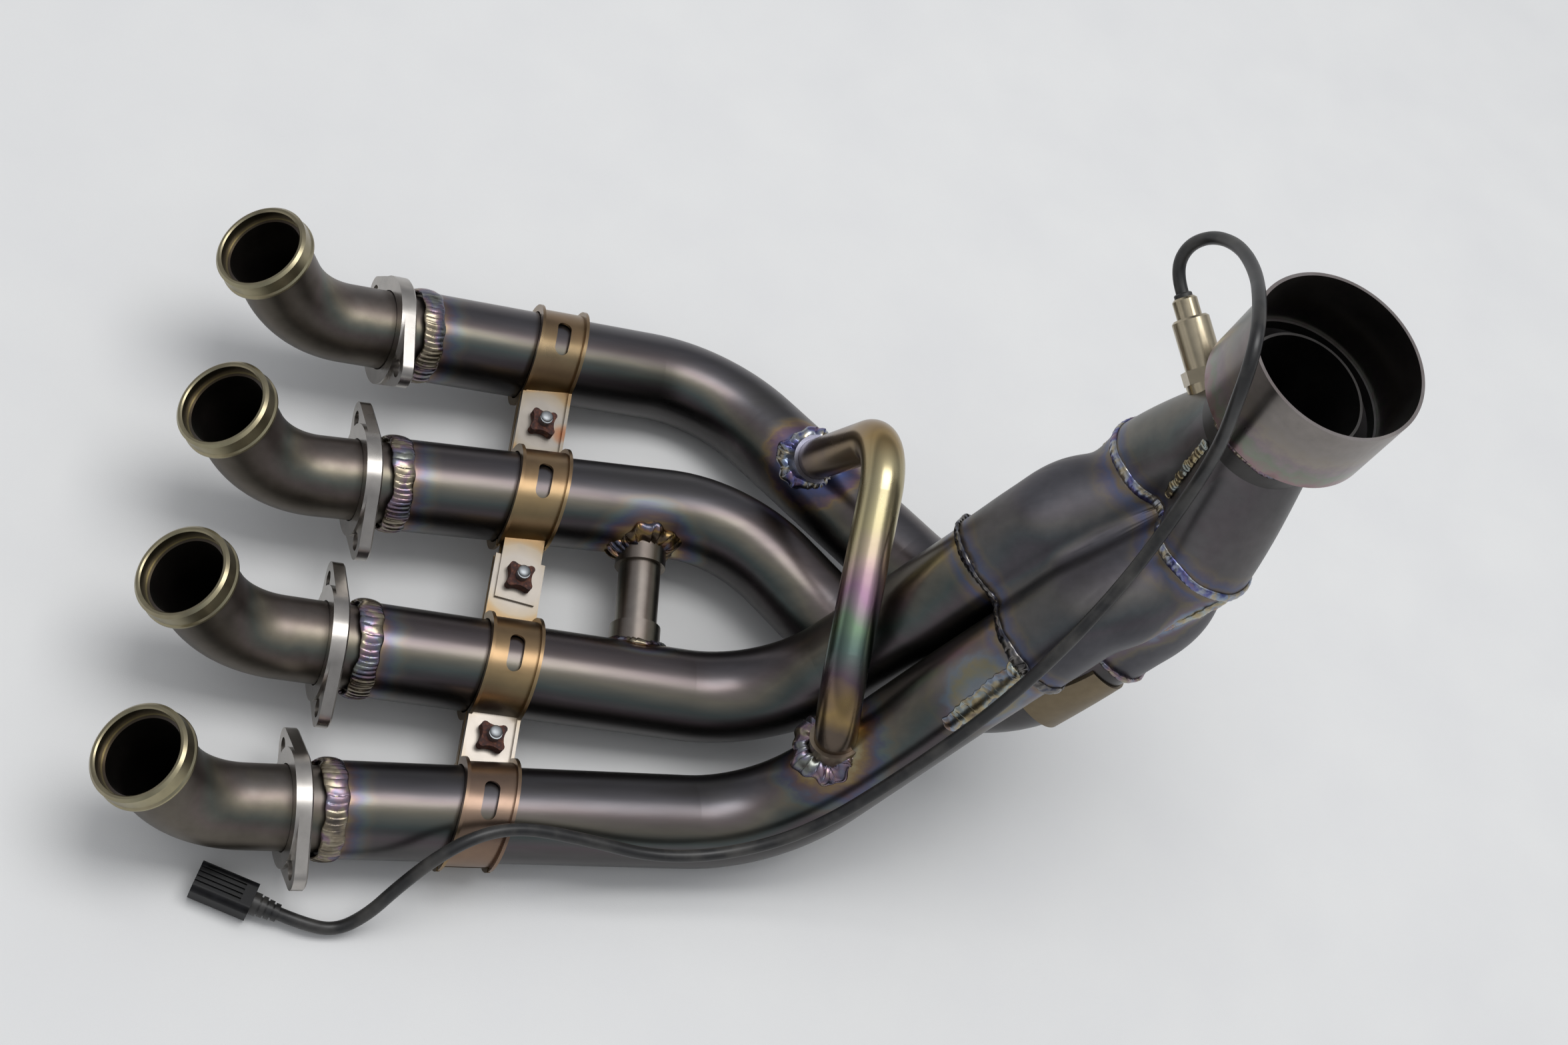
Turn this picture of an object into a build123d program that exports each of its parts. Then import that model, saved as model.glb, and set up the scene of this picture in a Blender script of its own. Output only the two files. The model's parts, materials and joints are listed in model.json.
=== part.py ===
from build123d import *
import os
from math import atan2, cos, pi, radians, sin, sqrt, tan

# Four-into-two-into-one exhaust header of a four-cylinder motorcycle, in millimetres.
# It is drawn in the header's own frame: X runs down the pipes, Y along the row of inlets
# from pipe 1 to pipe 4, Z to the rear of the machine. One placement then lays it on its front.

# Row of inlets
INLET_PITCH = 82.0
INLET_ANGLE = 51.7
INLET_BORE = 38.2
COLLAR_LIP_OD = 44.0
COLLAR_LENGTH = 12.0
COLLAR_SEAT = 6.0
COLLAR_EDGE = 1.2
COLLAR_BEAD_OD = 45.2
COLLAR_BEAD_WIDTH = 3.0
COLLAR_BEAD_BACK = 4.8

# Bent stubs between the collars and the main pipes
STUB_OD = 37.2
STUB_WALL = 1.2
STUB_STRAIGHT = 15.0
STUB_EASE_RADIUS = 22.0
STUB_BEND_RADIUS = 45.0
STUB_CORNER_X = 28.6
STUB_DROP = 36.3
STUB_SWAY = (-4.8, -5.4, -7.9, -7.5)

# Main pipes: place of the weld to the stub, corners and bend radii of each centreline
PIPE_OD = 42.7
PIPE_WALL = 1.0
PIPE_START = 56.0
STUB_INSERT = 6.0
SWAGE_LENGTH = 8.0
BEAD_RISE = 0.9
BEAD_WIDTH = 5.0
BEAD_SLOPE = 1.75
PIPE_CORNERS = (
    ((287.0, 49.0, -36.0),),
    ((283.0, 107.0, -36.0),),
    ((252.5, 199.0, -39.0), (368.0, 110.0, -24.0)),
    ((240.0, 280.0, -58.0), (366.0, 163.5, -3.0)),
)
PIPE_BENDS = ((70.0, 150.0), (70.0, 150.0), (76.0, 100.0, 100.0), (66.0, 60.0, 60.0))
SOCKET_CLEARANCE = 0.05

# Loose flanges
FLANGE_AT = 44.5
FLANGE_BORE_CLEARANCE = 0.5
FLANGE_THICKNESS = 7.5
FLANGE_EAR_STEP = 1.5
FLANGE_HUB_RADIUS = 26.0
FLANGE_HOLE_PITCH = 60.0
FLANGE_HOLE = 8.5
FLANGE_EAR_RADIUS = 8.5
FLANGE_EDGE = 0.8
FLANGE_TURN = (-12.0, 2.0, 2.0, -28.0)

# Merge collector
COLLECTOR_ORIGIN = (363.0, 137.7, 71.8)
COLLECTOR_AXIS = (0.42, 0.37, 0.83)
COLLECTOR_SIDE = (0.43, -0.885, 0.177)
PIPE_GAP = 0.9
SHELL_WALL = 1.2
SHELL_CLEARANCE = 0.1
SHELL_VALLEY = 8.0
UPPER_LEAD = 40.0
UPPER_INSERT = 6.0
LOWER_LEAD = 2.0
LOWER_INLET = 18.0
LOWER_INSERT = 12.0
SOCKET_END = 34.0
MERGE_STATION = 62.0
MERGE_PITCH = 9.0
SEAM_STATION = 86.0
SEAM_RISE = 5.8
SEAM_PITCH = 20.0
SEAM_HALF_X = 22.0
SEAM_HALF_Y = 5.0
SEAM_LOBE = 18.5
SEAM_VALLEY = 7.0
MERGE_RISE = 1.0
MERGE_HALF_X = 22.0
MERGE_HALF_Y = 13.0
MERGE_LOBE = 21.0
MERGE_TOP = 9.0
MERGE_SIDE = 60.0
WAIST_HALF_X = 14.0
WAIST_HALF_Y = 4.0
WAIST_LOBE = 19.5
WAIST_VALLEY = 12.0
PLUG_RADIUS = 15.0
PLUG_THICKNESS = 3.0

# Outlet: the two-into-one, neck, flare and slip sleeve
OUTLET_CENTRE = (395.0, 185.3, 265.9)
OUTLET_AXIS = (-0.067, 0.057, 0.996)
SLEEVE_OD = 78.0
SLEEVE_WALL = 1.5
SLEEVE_LENGTH = 40.0
NECK_OD = 54.5
NECK_BACK = 64.0
NECK_FRONT = 28.0
FLARE_BACK = 52.0
FLARE_FRONT = 34.0

# Oxygen sensor on the side of the two-into-one
SENSOR_BACK = 20.0
SENSOR_AXIS = (-0.492, 0.843, 0.216)
BUNG_OD = 20.0
BUNG_SINK = 14.375
BUNG_RISE = 4.625
SENSOR_HEX = 19.0
SENSOR_HEX_HEIGHT = 6.0
SENSOR_BODY_OD = 16.5
SENSOR_BODY_HEIGHT = 22.0
SENSOR_CAP_OD = 11.0
SENSOR_CAP_HEIGHT = 9.0
SENSOR_EDGE = 1.0
GROMMET_OD = 8.0
GROMMET_HEIGHT = 2.0

# Sensor cable and its plug. The route is given as the header lies: straight out of the sensor,
# in a loop past the sleeve, over the collector and pipe 1, and down to the floor
CABLE_OD = 5.8
CABLE_LEAD = 10.0
BEND_SHARE = 0.45
CABLE_ROUTE = (
    (153.3, 105.4, 275.3),
    (158.6, 103.0, 288.7),
    (162.5, 88.4, 303.9),
    (160.7, 63.4, 319.5),
    (152.4, 33.8, 336.1),
    (148.5, 14.2, 339.7),
    (148.4, 3.0, 332.6),
    (150.5, -2.4, 320.1),
    (159.6, -1.7, 291.7),
    (169.1, 2.0, 251.8),
    (161.4, -20.5, 209.6),
    (143.2, -47.8, 181.9),
    (130.5, -61.7, 137.5),
    (105.8, -80.3, 93.1),
    (79.3, -97.7, 57.5),
    (48.2, -109.4, 40.4),
    (13.5, -118.3, 38.7),
    (-20.9, -120.2, 46.3),
    (-51.0, -123.7, 53.2),
    (-70.0, -132.1, 55.0),
    (-85.0, -142.7, 46.0),
    (-96.5, -152.7, 29.5),
    (-105.0, -161.2, 13.0),
    (-116.2, -167.7, 4.2),
    (-130.4, -168.7, 7.0),
    (-142.0, -166.2, 7.0),
)
BOOT_ROOT_OD = 8.0
BOOT_OD = 10.0
BOOT_LENGTH = 12.0
BOOT_GROOVES = 3
BOOT_GROOVE = 0.8
PLUG_BODY_WIDTH = 15.0
PLUG_BODY_HEIGHT = 13.0
PLUG_BODY_LENGTH = 26.0
PLUG_BODY_CORNER = 3.0
PLUG_RIBS = 4
PLUG_RIB_GAP = 1.6
PLUG_RIB_DEPTH = 1.0
PLUG_COLLAR = 5.0
PLUG_SOCKET_DEPTH = 14.0
PLUG_WALL = 1.8

# Balance tubes between the middle pipes and between the outer pipes
BALANCE_OD = 20.0
BALANCE_WALL = 1.2
BALANCE_RING_OD = 24.0
BALANCE_RING_HEIGHT = 9.0
INNER_FOOT = (214.0, 98.8, -36.1)
INNER_HEAD = (208.7, 190.7, -38.5)
OUTER_FOOT = (306.0, 67.0, -3.0)
OUTER_CORNERS = ((286.1, 80.6, 43.9), (282.8, 200.8, 81.4))
OUTER_HEAD = (283.5, 239.0, -39.0)
OUTER_BENDS = (40.0, 28.0)
BALANCE_SEAT = 3.0

# Clamp strap round the four pipes
STRAP_AT = 152.0
STRAP_WIDTH = 24.0
STRAP_SHEET = 1.5
STRAP_LIP = 2.0
STRAP_CLEARANCE = 0.6
STRAP_SPLIT = 1.0
STRAP_END_DROP = 3.0
TAB_WIDTH = 19.0
TAB_LAP = 11.0
SLOT_LENGTH = 18.0
SLOT_WIDTH = 7.0
BOLT_THREAD = 6.0
BOLT_CLEARANCE = 0.3
BOLT_HEAD = 10.0
BOLT_HEAD_HEIGHT = 4.0
BOLT_PROUD = 4.0
NUT_SIDE = 12.0
NUT_HEIGHT = 5.0
NUT_CORNER = 1.6
NUT_SCOOP = 1.0
NUT_SCOOP_RADIUS = 8.0

# Heat-stained pad on the lower side of pipe 3
PAD_SHEET = 1.2
PAD_CLEARANCE = 0.1
PAD_START = -28.0
PAD_END = 12.0
PAD_EDGE = 3.0
PAD_TOP = 15.0

# Resting pose: tilts that lay the header on pipes 1 and 4 and the front of the clamp
REST_ROLL = 4.31
REST_PITCH = 3.69

PIPES = range(4)


def vec(point):
    """A point or direction as a vector."""
    return Vector(*point)


def frame_at(origin, axis, side):
    """Plane at origin whose normal is axis and whose X lies as near to side as it can."""
    z_dir = axis.normalized()
    x_dir = (side - z_dir * side.dot(z_dir)).normalized()
    return Plane(origin=origin, x_dir=x_dir, z_dir=z_dir)


def path_through(points, radii):
    """Straight runs joined by tangent arcs."""
    return FilletPolyline(*points, radius=list(radii))


def rod(path, radius):
    """Solid round bar along a path."""
    start = Plane(origin=path @ 0, z_dir=path % 0)
    return sweep(start * Circle(radius), path=path)


def bent_tube(path, outside, wall):
    """Round tube along a path."""
    return rod(path, outside / 2) - rod(path, outside / 2 - wall)


def straight_rod(start, end, radius):
    """Solid round bar between two points."""
    return rod(Line(start, end), radius)


def turned(profile):
    """Solid of revolution about Z of a closed outline of (radius, height) points."""
    outline = Polyline(*[(r, 0, h) for r, h in profile], close=True)
    return revolve(make_face(outline), Axis.Z)


COLLECTOR = frame_at(vec(COLLECTOR_ORIGIN), vec(COLLECTOR_AXIS), vec(COLLECTOR_SIDE))
OUTLET = frame_at(vec(OUTLET_CENTRE), vec(OUTLET_AXIS), vec(COLLECTOR_SIDE))
INTO_STUB = Vector(cos(radians(INLET_ANGLE)), 0, -sin(radians(INLET_ANGLE)))
PIPE_SPACING = PIPE_OD + PIPE_GAP
# Place of each pipe in the collector: 1 and 2 above, 3 under 1, 4 under 2
PIPE_CELLS = ((1, -1), (-1, -1), (1, 1), (-1, 1))


def inlet(i):
    """Centre of inlet i."""
    return Vector(0, i * INLET_PITCH, 0)


def stub_corner(i):
    """Corner of the stub's bend."""
    return Vector(STUB_CORNER_X, i * INLET_PITCH + STUB_SWAY[i], -STUB_DROP)


def straight_axis(i):
    """Direction of pipe i between its stub and its first bend."""
    return (vec(PIPE_CORNERS[i][0]) - stub_corner(i)).normalized()


def on_straight(i, distance):
    """Point on pipe i at a distance from the stub's corner."""
    return stub_corner(i) + straight_axis(i) * distance


def at_station(x):
    """Point of each straight at a distance X down the header."""
    points = []
    for i in PIPES:
        reach = (x - STUB_CORNER_X) / straight_axis(i).X
        points.append(on_straight(i, reach))
    return points


def collector_cell(i, station):
    """Centre of pipe i in the collector at a station along its axis."""
    side, row = PIPE_CELLS[i]
    half = PIPE_SPACING / 2
    return COLLECTOR.from_local_coords(Vector(side * half, row * half, station))


def pipe_path(i, start):
    """Centreline of pipe i from a distance along its straight to its end in the collector."""
    points = [on_straight(i, start)] + [vec(c) for c in PIPE_CORNERS[i]]
    if PIPE_CELLS[i][1] < 0:
        points.append(collector_cell(i, -UPPER_LEAD))
        points.append(collector_cell(i, UPPER_INSERT))
    else:
        points.append(collector_cell(i, LOWER_LEAD))
        points.append(collector_cell(i, LOWER_INLET + LOWER_INSERT))
    return path_through(points, PIPE_BENDS[i])


def inlet_collar():
    """Mouth ring with a rounded lip, a weld bead behind it and a socket for the stub."""
    bore = INLET_BORE / 2
    lip = COLLAR_LIP_OD / 2
    bead = COLLAR_BEAD_OD / 2
    socket = STUB_OD / 2 + SOCKET_CLEARANCE
    bead_start = COLLAR_LENGTH - COLLAR_BEAD_BACK
    bead_end = bead_start + COLLAR_BEAD_WIDTH
    profile = [
        (bore + COLLAR_EDGE / 2, 0),
        (lip - COLLAR_EDGE, 0),
        (lip, COLLAR_EDGE),
        (lip, bead_start),
        (bead, bead_start + COLLAR_BEAD_WIDTH / 3),
        (bead, bead_end - COLLAR_BEAD_WIDTH / 3),
        (lip - COLLAR_EDGE, bead_end),
        (socket + COLLAR_EDGE, COLLAR_LENGTH),
        (socket, COLLAR_LENGTH),
        (socket, COLLAR_SEAT),
        (bore, COLLAR_SEAT),
        (bore, COLLAR_EDGE / 2),
    ]
    return turned(profile)


def inlet_stub(i):
    """Bent stub from the collar's seat into the main pipe."""
    points = [
        inlet(i) + INTO_STUB * COLLAR_SEAT,
        inlet(i) + INTO_STUB * STUB_STRAIGHT,
        stub_corner(i),
        on_straight(i, PIPE_START + STUB_INSERT),
    ]
    path = path_through(points, (STUB_EASE_RADIUS, STUB_BEND_RADIUS))
    return bent_tube(path, STUB_OD, STUB_WALL)


def swaged_end():
    """Reduced pipe end with the weld bead that joins it to the stub."""
    outer = PIPE_OD / 2
    inner = outer - PIPE_WALL
    socket = STUB_OD / 2 + SOCKET_CLEARANCE
    profile = [
        (socket, 0),
        (socket + BEAD_RISE, 0),
        (outer + BEAD_RISE, BEAD_SLOPE),
        (outer + BEAD_RISE, BEAD_WIDTH - BEAD_SLOPE),
        (outer, BEAD_WIDTH),
        (outer, SWAGE_LENGTH),
        (inner, SWAGE_LENGTH),
        (socket, STUB_INSERT),
    ]
    return turned(profile)


def primary_pipe(i, ports):
    """Main pipe with its swaged end and the ports of the balance tubes."""
    tube = bent_tube(pipe_path(i, PIPE_START + SWAGE_LENGTH), PIPE_OD, PIPE_WALL)
    end = Plane(origin=on_straight(i, PIPE_START), z_dir=straight_axis(i)) * swaged_end()
    solid = tube + end
    for port in ports:
        solid = solid - port
    return solid


def flange(i):
    """Oval two-bolt flange, thicker at its hub than at its ears, loose on the stub."""
    hole_x = FLANGE_HOLE_PITCH / 2
    rounds = Circle(FLANGE_HUB_RADIUS)
    for x in (-hole_x, hole_x):
        rounds = rounds + Pos(x, 0) * Circle(FLANGE_EAR_RADIUS)
    outline = make_hull(rounds.edges())
    ears = Pos(0, 0, FLANGE_EAR_STEP) * extrude(outline, FLANGE_THICKNESS - FLANGE_EAR_STEP)
    body = ears + extrude(Circle(FLANGE_HUB_RADIUS), FLANGE_THICKNESS)
    body = chamfer(body.faces().sort_by(Axis.Z)[-1].outer_wire().edges(), FLANGE_EDGE)
    body = body - extrude(Circle(STUB_OD / 2 + FLANGE_BORE_CLEARANCE), FLANGE_THICKNESS)
    for x in (-hole_x, hole_x):
        body = body - Pos(x, 0) * extrude(Circle(FLANGE_HOLE / 2), FLANGE_THICKNESS)
    turn = radians(FLANGE_TURN[i])
    seat = on_straight(i, FLANGE_AT - FLANGE_THICKNESS / 2)
    return frame_at(seat, straight_axis(i), Vector(0, cos(turn), sin(turn))) * body


def join(across, along, lobe, valley):
    """Where an arc on the axis meets a lobe, and where it crosses the axis.

    The lobe's centre lies at (across, along). A positive valley is the radius of a hollow
    between two lobes, a negative one that of a crown over both.
    """
    reach = abs(lobe + valley)
    lift = sqrt(max(reach**2 - across**2, 0.0))
    if valley > 0:
        touch = (across - across * lobe / reach, along + lift * lobe / reach)
        return touch, along + lift - valley
    touch = (across + across * lobe / reach, along + lift * lobe / reach)
    return touch, along - lift - valley


def lobed_quarter(half_x, half_y, lobe, top_valley, side_valley, grow):
    """Quarter of a four-lobed outline, from its side to its top, grown by a wall."""
    lobe = lobe + grow
    top, top_mid = join(half_x, half_y, lobe, top_valley - grow)
    touch, side_mid = join(half_y, half_x, lobe, side_valley - grow)
    side = (touch[1], touch[0])
    start = atan2(side[1] - half_y, side[0] - half_x)
    end = atan2(top[1] - half_y, top[0] - half_x)
    middle = (start + end) / 2
    crown = (half_x + lobe * cos(middle), half_y + lobe * sin(middle))
    return [(side_mid, 0), side, crown, top, (0, top_mid)]


def round_quarter(radius):
    """Quarter of a circle, cut like the lobed outlines."""
    angles = [radians(a) for a in (0, 58, 69, 80, 90)]
    return [(radius * cos(a), radius * sin(a)) for a in angles]


def closed_outline(quarter):
    """Face from a quarter outline mirrored about both axes, as eight arcs."""
    side_mid, side, crown, top, top_mid = quarter
    ring = [
        (side[0], -side[1]), side_mid, side,
        crown, top,
        top_mid, (-top[0], top[1]),
        (-crown[0], crown[1]), (-side[0], side[1]),
        (-side_mid[0], 0), (-side[0], -side[1]),
        (-crown[0], -crown[1]), (-top[0], -top[1]),
        (0, -top_mid[1]), (top[0], -top[1]),
        (crown[0], -crown[1]), (side[0], -side[1]),
    ]
    arcs = [ThreePointArc(*ring[k:k + 3]) for k in range(0, len(ring) - 2, 2)]
    return make_face(arcs)


def collector_plane(station, rise, pitch):
    """Section plane of the collector, raised and pitched towards its upper side."""
    origin = COLLECTOR.from_local_coords(Vector(0, -rise, station))
    tilt = COLLECTOR.z_dir * cos(radians(pitch)) - COLLECTOR.y_dir * sin(radians(pitch))
    return frame_at(origin, tilt, COLLECTOR.x_dir)


SEAM_PLANE = collector_plane(SEAM_STATION, SEAM_RISE, SEAM_PITCH)
NECK_PLANE = frame_at(
    OUTLET.from_local_coords(Vector(0, 0, -NECK_BACK)), OUTLET.z_dir, COLLECTOR.x_dir
)


def socket_section(grow):
    """Four-lobed section round the pipe ends."""
    half = PIPE_SPACING / 2
    lobe = PIPE_OD / 2 + SHELL_CLEARANCE
    return closed_outline(lobed_quarter(half, half, lobe, SHELL_VALLEY, SHELL_VALLEY, grow))


def merge_section(grow):
    """Section where each upper pipe runs into the pipe under it."""
    shape = lobed_quarter(MERGE_HALF_X, MERGE_HALF_Y, MERGE_LOBE, MERGE_TOP, MERGE_SIDE, grow)
    return closed_outline(shape)


def seam_section(grow):
    """Two round lobes side by side."""
    crown = -(SEAM_LOBE + SEAM_HALF_Y)
    shape = lobed_quarter(SEAM_HALF_X, SEAM_HALF_Y, SEAM_LOBE, SEAM_VALLEY, crown, grow)
    return closed_outline(shape)


def waist_section(grow):
    """The two lobes half run together."""
    crown = -(WAIST_LOBE + WAIST_HALF_Y)
    shape = lobed_quarter(WAIST_HALF_X, WAIST_HALF_Y, WAIST_LOBE, WAIST_VALLEY, crown, grow)
    return closed_outline(shape)


def collector_form(grow):
    """Solid form of the collector: straight sockets, then the merge to two lobes."""
    sockets = extrude(COLLECTOR * socket_section(grow), SOCKET_END)
    sections = [
        collector_plane(SOCKET_END, 0, 0) * socket_section(grow),
        collector_plane(MERGE_STATION, MERGE_RISE, MERGE_PITCH) * merge_section(grow),
        SEAM_PLANE * seam_section(grow),
    ]
    return sockets + loft(sections)


def two_into_one_form(grow):
    """Solid form of the piece that brings two lobes to the round neck."""
    middle = (SEAM_PLANE.origin + NECK_PLANE.origin) * 0.5
    tilt = SEAM_PLANE.z_dir + NECK_PLANE.z_dir
    sections = [
        SEAM_PLANE * seam_section(grow),
        frame_at(middle, tilt, COLLECTOR.x_dir) * waist_section(grow),
        NECK_PLANE * closed_outline(round_quarter(NECK_OD / 2 - SHELL_WALL + grow)),
    ]
    return loft(sections)


def upper_side():
    """Block over the collector's dividing surface, which follows the collector's centreline."""
    far = 4 * PIPE_SPACING
    rise = TangentArc((0, SOCKET_END), (-SEAM_RISE, SEAM_STATION), tangent=(0, 1))
    end = rise @ 1 + (rise % 1) * PIPE_SPACING
    rest = Polyline(end, (-far, end.Y), (-far, -far), (0, -far), (0, SOCKET_END))
    outline = [rise, Line(rise @ 1, end), rest]
    across = Plane(origin=COLLECTOR.origin, x_dir=COLLECTOR.y_dir, z_dir=COLLECTOR.x_dir)
    return extrude(across * make_face(outline), far, both=True)


def collector_shells():
    """Upper and lower pressed shells, welded along the dividing surface."""
    shell = collector_form(SHELL_WALL) - collector_form(0)
    divider = upper_side()
    early = extrude(COLLECTOR * Rectangle(4 * PIPE_SPACING, 4 * PIPE_SPACING), LOWER_INLET)
    upper = shell & divider
    lower = shell - divider - early
    return upper, lower


def centre_plug():
    """Four-pointed plate that closes the space between the pipe ends."""
    face = Circle(PLUG_RADIUS)
    half = PIPE_SPACING / 2
    for side, row in PIPE_CELLS:
        face = face - Pos(side * half, row * half) * Circle(PIPE_OD / 2 + SHELL_CLEARANCE)
    return COLLECTOR * extrude(face, PLUG_THICKNESS)


def outlet_neck():
    """Round tube from the two-into-one into the sleeve."""
    outer = NECK_OD / 2
    inner = outer - SHELL_WALL
    profile = [(inner, -NECK_BACK), (outer, -NECK_BACK), (outer, -NECK_FRONT), (inner, -NECK_FRONT)]
    return OUTLET * turned(profile)


def outlet_flare():
    """Cone between the neck and the sleeve."""
    root = NECK_OD / 2 + SOCKET_CLEARANCE
    rim = SLEEVE_OD / 2 - SLEEVE_WALL - SOCKET_CLEARANCE
    shoulder = -SLEEVE_LENGTH
    profile = [
        (root, -FLARE_BACK),
        (root + SHELL_WALL, -FLARE_BACK),
        (rim, shoulder),
        (rim, -FLARE_FRONT),
        (rim - SHELL_WALL, -FLARE_FRONT),
        (rim - SHELL_WALL, shoulder + SHELL_WALL / 2),
        (root, -FLARE_BACK + 1.5 * SHELL_WALL),
    ]
    return OUTLET * turned(profile)


def outlet_sleeve():
    """Slip sleeve that takes the silencer."""
    outer = SLEEVE_OD / 2
    inner = outer - SLEEVE_WALL
    profile = [(inner, -SLEEVE_LENGTH), (outer, -SLEEVE_LENGTH), (outer, 0), (inner, 0)]
    return OUTLET * turned(profile)


def sensor_frame(height):
    """Plane across the sensor's axis at a height from the two-into-one's centreline."""
    run = (SEAM_PLANE.origin - NECK_PLANE.origin).normalized()
    foot = NECK_PLANE.origin + run * SENSOR_BACK
    out = vec(SENSOR_AXIS)
    return frame_at(foot + out.normalized() * height, out, COLLECTOR.z_dir)


# Half width of the two-into-one between its waist and its neck, where the bung is welded on
BUNG_SEAT = (NECK_OD / 2 + WAIST_HALF_X + WAIST_LOBE) / 2
BUNG_ROOT = BUNG_SEAT - BUNG_SINK
BUNG_TOP = BUNG_SEAT + BUNG_RISE
BODY_FOOT = BUNG_TOP + SENSOR_HEX_HEIGHT
CAP_FOOT = BODY_FOOT + SENSOR_BODY_HEIGHT
GROMMET_FOOT = CAP_FOOT + SENSOR_CAP_HEIGHT
CABLE_FOOT = GROMMET_FOOT + GROMMET_HEIGHT


def edged_rod(radius, height, edge):
    """Round bar up Z with a bevelled top."""
    return turned([(0, 0), (radius, 0), (radius, height - edge), (radius - edge, height), (0, height)])


def sensor_parts():
    """Bung, hexagon, body, cap and cable grommet of the oxygen sensor."""
    form = two_into_one_form(SHELL_WALL + SOCKET_CLEARANCE)
    bung = sensor_frame(BUNG_ROOT) * extrude(Circle(BUNG_OD / 2), BUNG_TOP - BUNG_ROOT) - form
    flats = RegularPolygon(SENSOR_HEX / 2, 6, major_radius=False)
    hexagon = sensor_frame(BUNG_TOP) * extrude(flats, SENSOR_HEX_HEIGHT)
    body = edged_rod(SENSOR_BODY_OD / 2, SENSOR_BODY_HEIGHT, SENSOR_EDGE)
    cap = edged_rod(SENSOR_CAP_OD / 2, SENSOR_CAP_HEIGHT, SENSOR_EDGE)
    grommet = edged_rod(GROMMET_OD / 2, GROMMET_HEIGHT, SENSOR_EDGE / 2)
    return {
        "sensor_bung": bung,
        "sensor_hexagon": hexagon,
        "sensor_body": sensor_frame(BODY_FOOT) * body,
        "sensor_cap": sensor_frame(CAP_FOOT) * cap,
        "cable_grommet": sensor_frame(GROMMET_FOOT) * grommet,
    }


def balance_paths():
    """Centrelines of the inner and the outer balance tube, from pipe axis to pipe axis."""
    inner = [vec(INNER_FOOT), vec(INNER_HEAD)]
    outer = [vec(OUTER_FOOT)] + [vec(c) for c in OUTER_CORNERS] + [vec(OUTER_HEAD)]
    return inner, outer


def balance_end(points, i):
    """Saddle ring that carries a tube's end on pipe i, and the port behind it."""
    foot = points[0]
    out = (points[1] - foot).normalized()
    surface = PIPE_OD / 2
    ring = straight_rod(foot, foot + out * (surface + BALANCE_RING_HEIGHT), BALANCE_RING_OD / 2)
    ring = ring - straight_rod(
        foot, foot + out * (surface + 2 * BALANCE_RING_HEIGHT), BALANCE_OD / 2 + SOCKET_CLEARANCE
    )
    ring = ring - rod(pipe_path(i, PIPE_START), surface + SOCKET_CLEARANCE)
    port = straight_rod(foot, foot + out * PIPE_OD, BALANCE_OD / 2 - BALANCE_WALL)
    return ring, port


def balance_tube(points, bends, ends):
    """Tube between two pipes, seated in a saddle ring and cut to the pipe at each end."""
    seat = PIPE_OD / 2 + BALANCE_SEAT
    start = points[0] + (points[1] - points[0]).normalized() * seat
    end = points[-1] + (points[-2] - points[-1]).normalized() * seat
    route = [start] + points[1:-1] + [end]
    path = path_through(route, bends) if bends else Line(start, end)
    tube = bent_tube(path, BALANCE_OD, BALANCE_WALL)
    for i in ends:
        tube = tube - rod(pipe_path(i, PIPE_START), PIPE_OD / 2 + SOCKET_CLEARANCE)
    return tube


STRAP_POINTS = at_station(STRAP_AT)
STRAP_RADIUS = PIPE_OD / 2 + STRAP_CLEARANCE


def block(x_range, y_range, z_range):
    """Box between limits along each axis."""
    size = [b - a for a, b in (x_range, y_range, z_range)]
    centre = [(a + b) / 2 for a, b in (x_range, y_range, z_range)]
    return Pos(*centre) * Box(*size)


def strap_band(width):
    """Limits along X of a band of some width in the middle of the strap."""
    return (STRAP_AT - width / 2, STRAP_AT + width / 2)


def parting(gap):
    """Level of the strap's parting line in the gap after a pipe, or outside the row."""
    if gap < 0:
        return STRAP_POINTS[0].Z - STRAP_END_DROP
    if gap == len(STRAP_POINTS) - 1:
        return STRAP_POINTS[gap].Z - STRAP_END_DROP
    return (STRAP_POINTS[gap].Z + STRAP_POINTS[gap + 1].Z) / 2


def saddle(i, radius):
    """Round bar along pipe i across the strap."""
    half = straight_axis(i) * STRAP_WIDTH
    return straight_rod(STRAP_POINTS[i] - half, STRAP_POINTS[i] + half, radius)


def strap_form(first, side, height):
    """Bars over pipes first and first + 1 and the web between them, to a height."""
    low, high = STRAP_POINTS[first:first + 2]
    level = parting(first)
    top = level + side * (STRAP_SPLIT + height)
    web = block(strap_band(2 * STRAP_WIDTH), (low.Y, high.Y), sorted((level, top)))
    return saddle(first, STRAP_RADIUS + height) + saddle(first + 1, STRAP_RADIUS + height) + web


def strap_room(first, side, width, split):
    """Space over pipes first and first + 1 from a distance off the parting line."""
    reach = 2 * STRAP_RADIUS
    low, high = STRAP_POINTS[first:first + 2]
    edges = (low.Y - reach, low.Y, high.Y, high.Y + reach)
    room = Part()
    for k in range(3):
        level = parting(first - 1 + k) + side * split
        room += block(strap_band(width), edges[k:k + 2], sorted((level, level + side * reach)))
    return room


def strap_tab(first, side):
    """Web between pipes 2 and 3: plain from below, lapped by a narrower tab from above."""
    level = parting(1) + side * STRAP_SPLIT
    middle = bolt_place(1)
    if first == 0:
        y_range = (STRAP_POINTS[1].Y, middle + TAB_LAP)
        return block(strap_band(STRAP_WIDTH), y_range, sorted((level, level + side * STRAP_SHEET)))
    level += side * (STRAP_SHEET + SOCKET_CLEARANCE)
    y_range = (middle - TAB_LAP, STRAP_POINTS[2].Y)
    return block(strap_band(TAB_WIDTH), y_range, sorted((level, level + side * STRAP_SHEET)))


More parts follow.
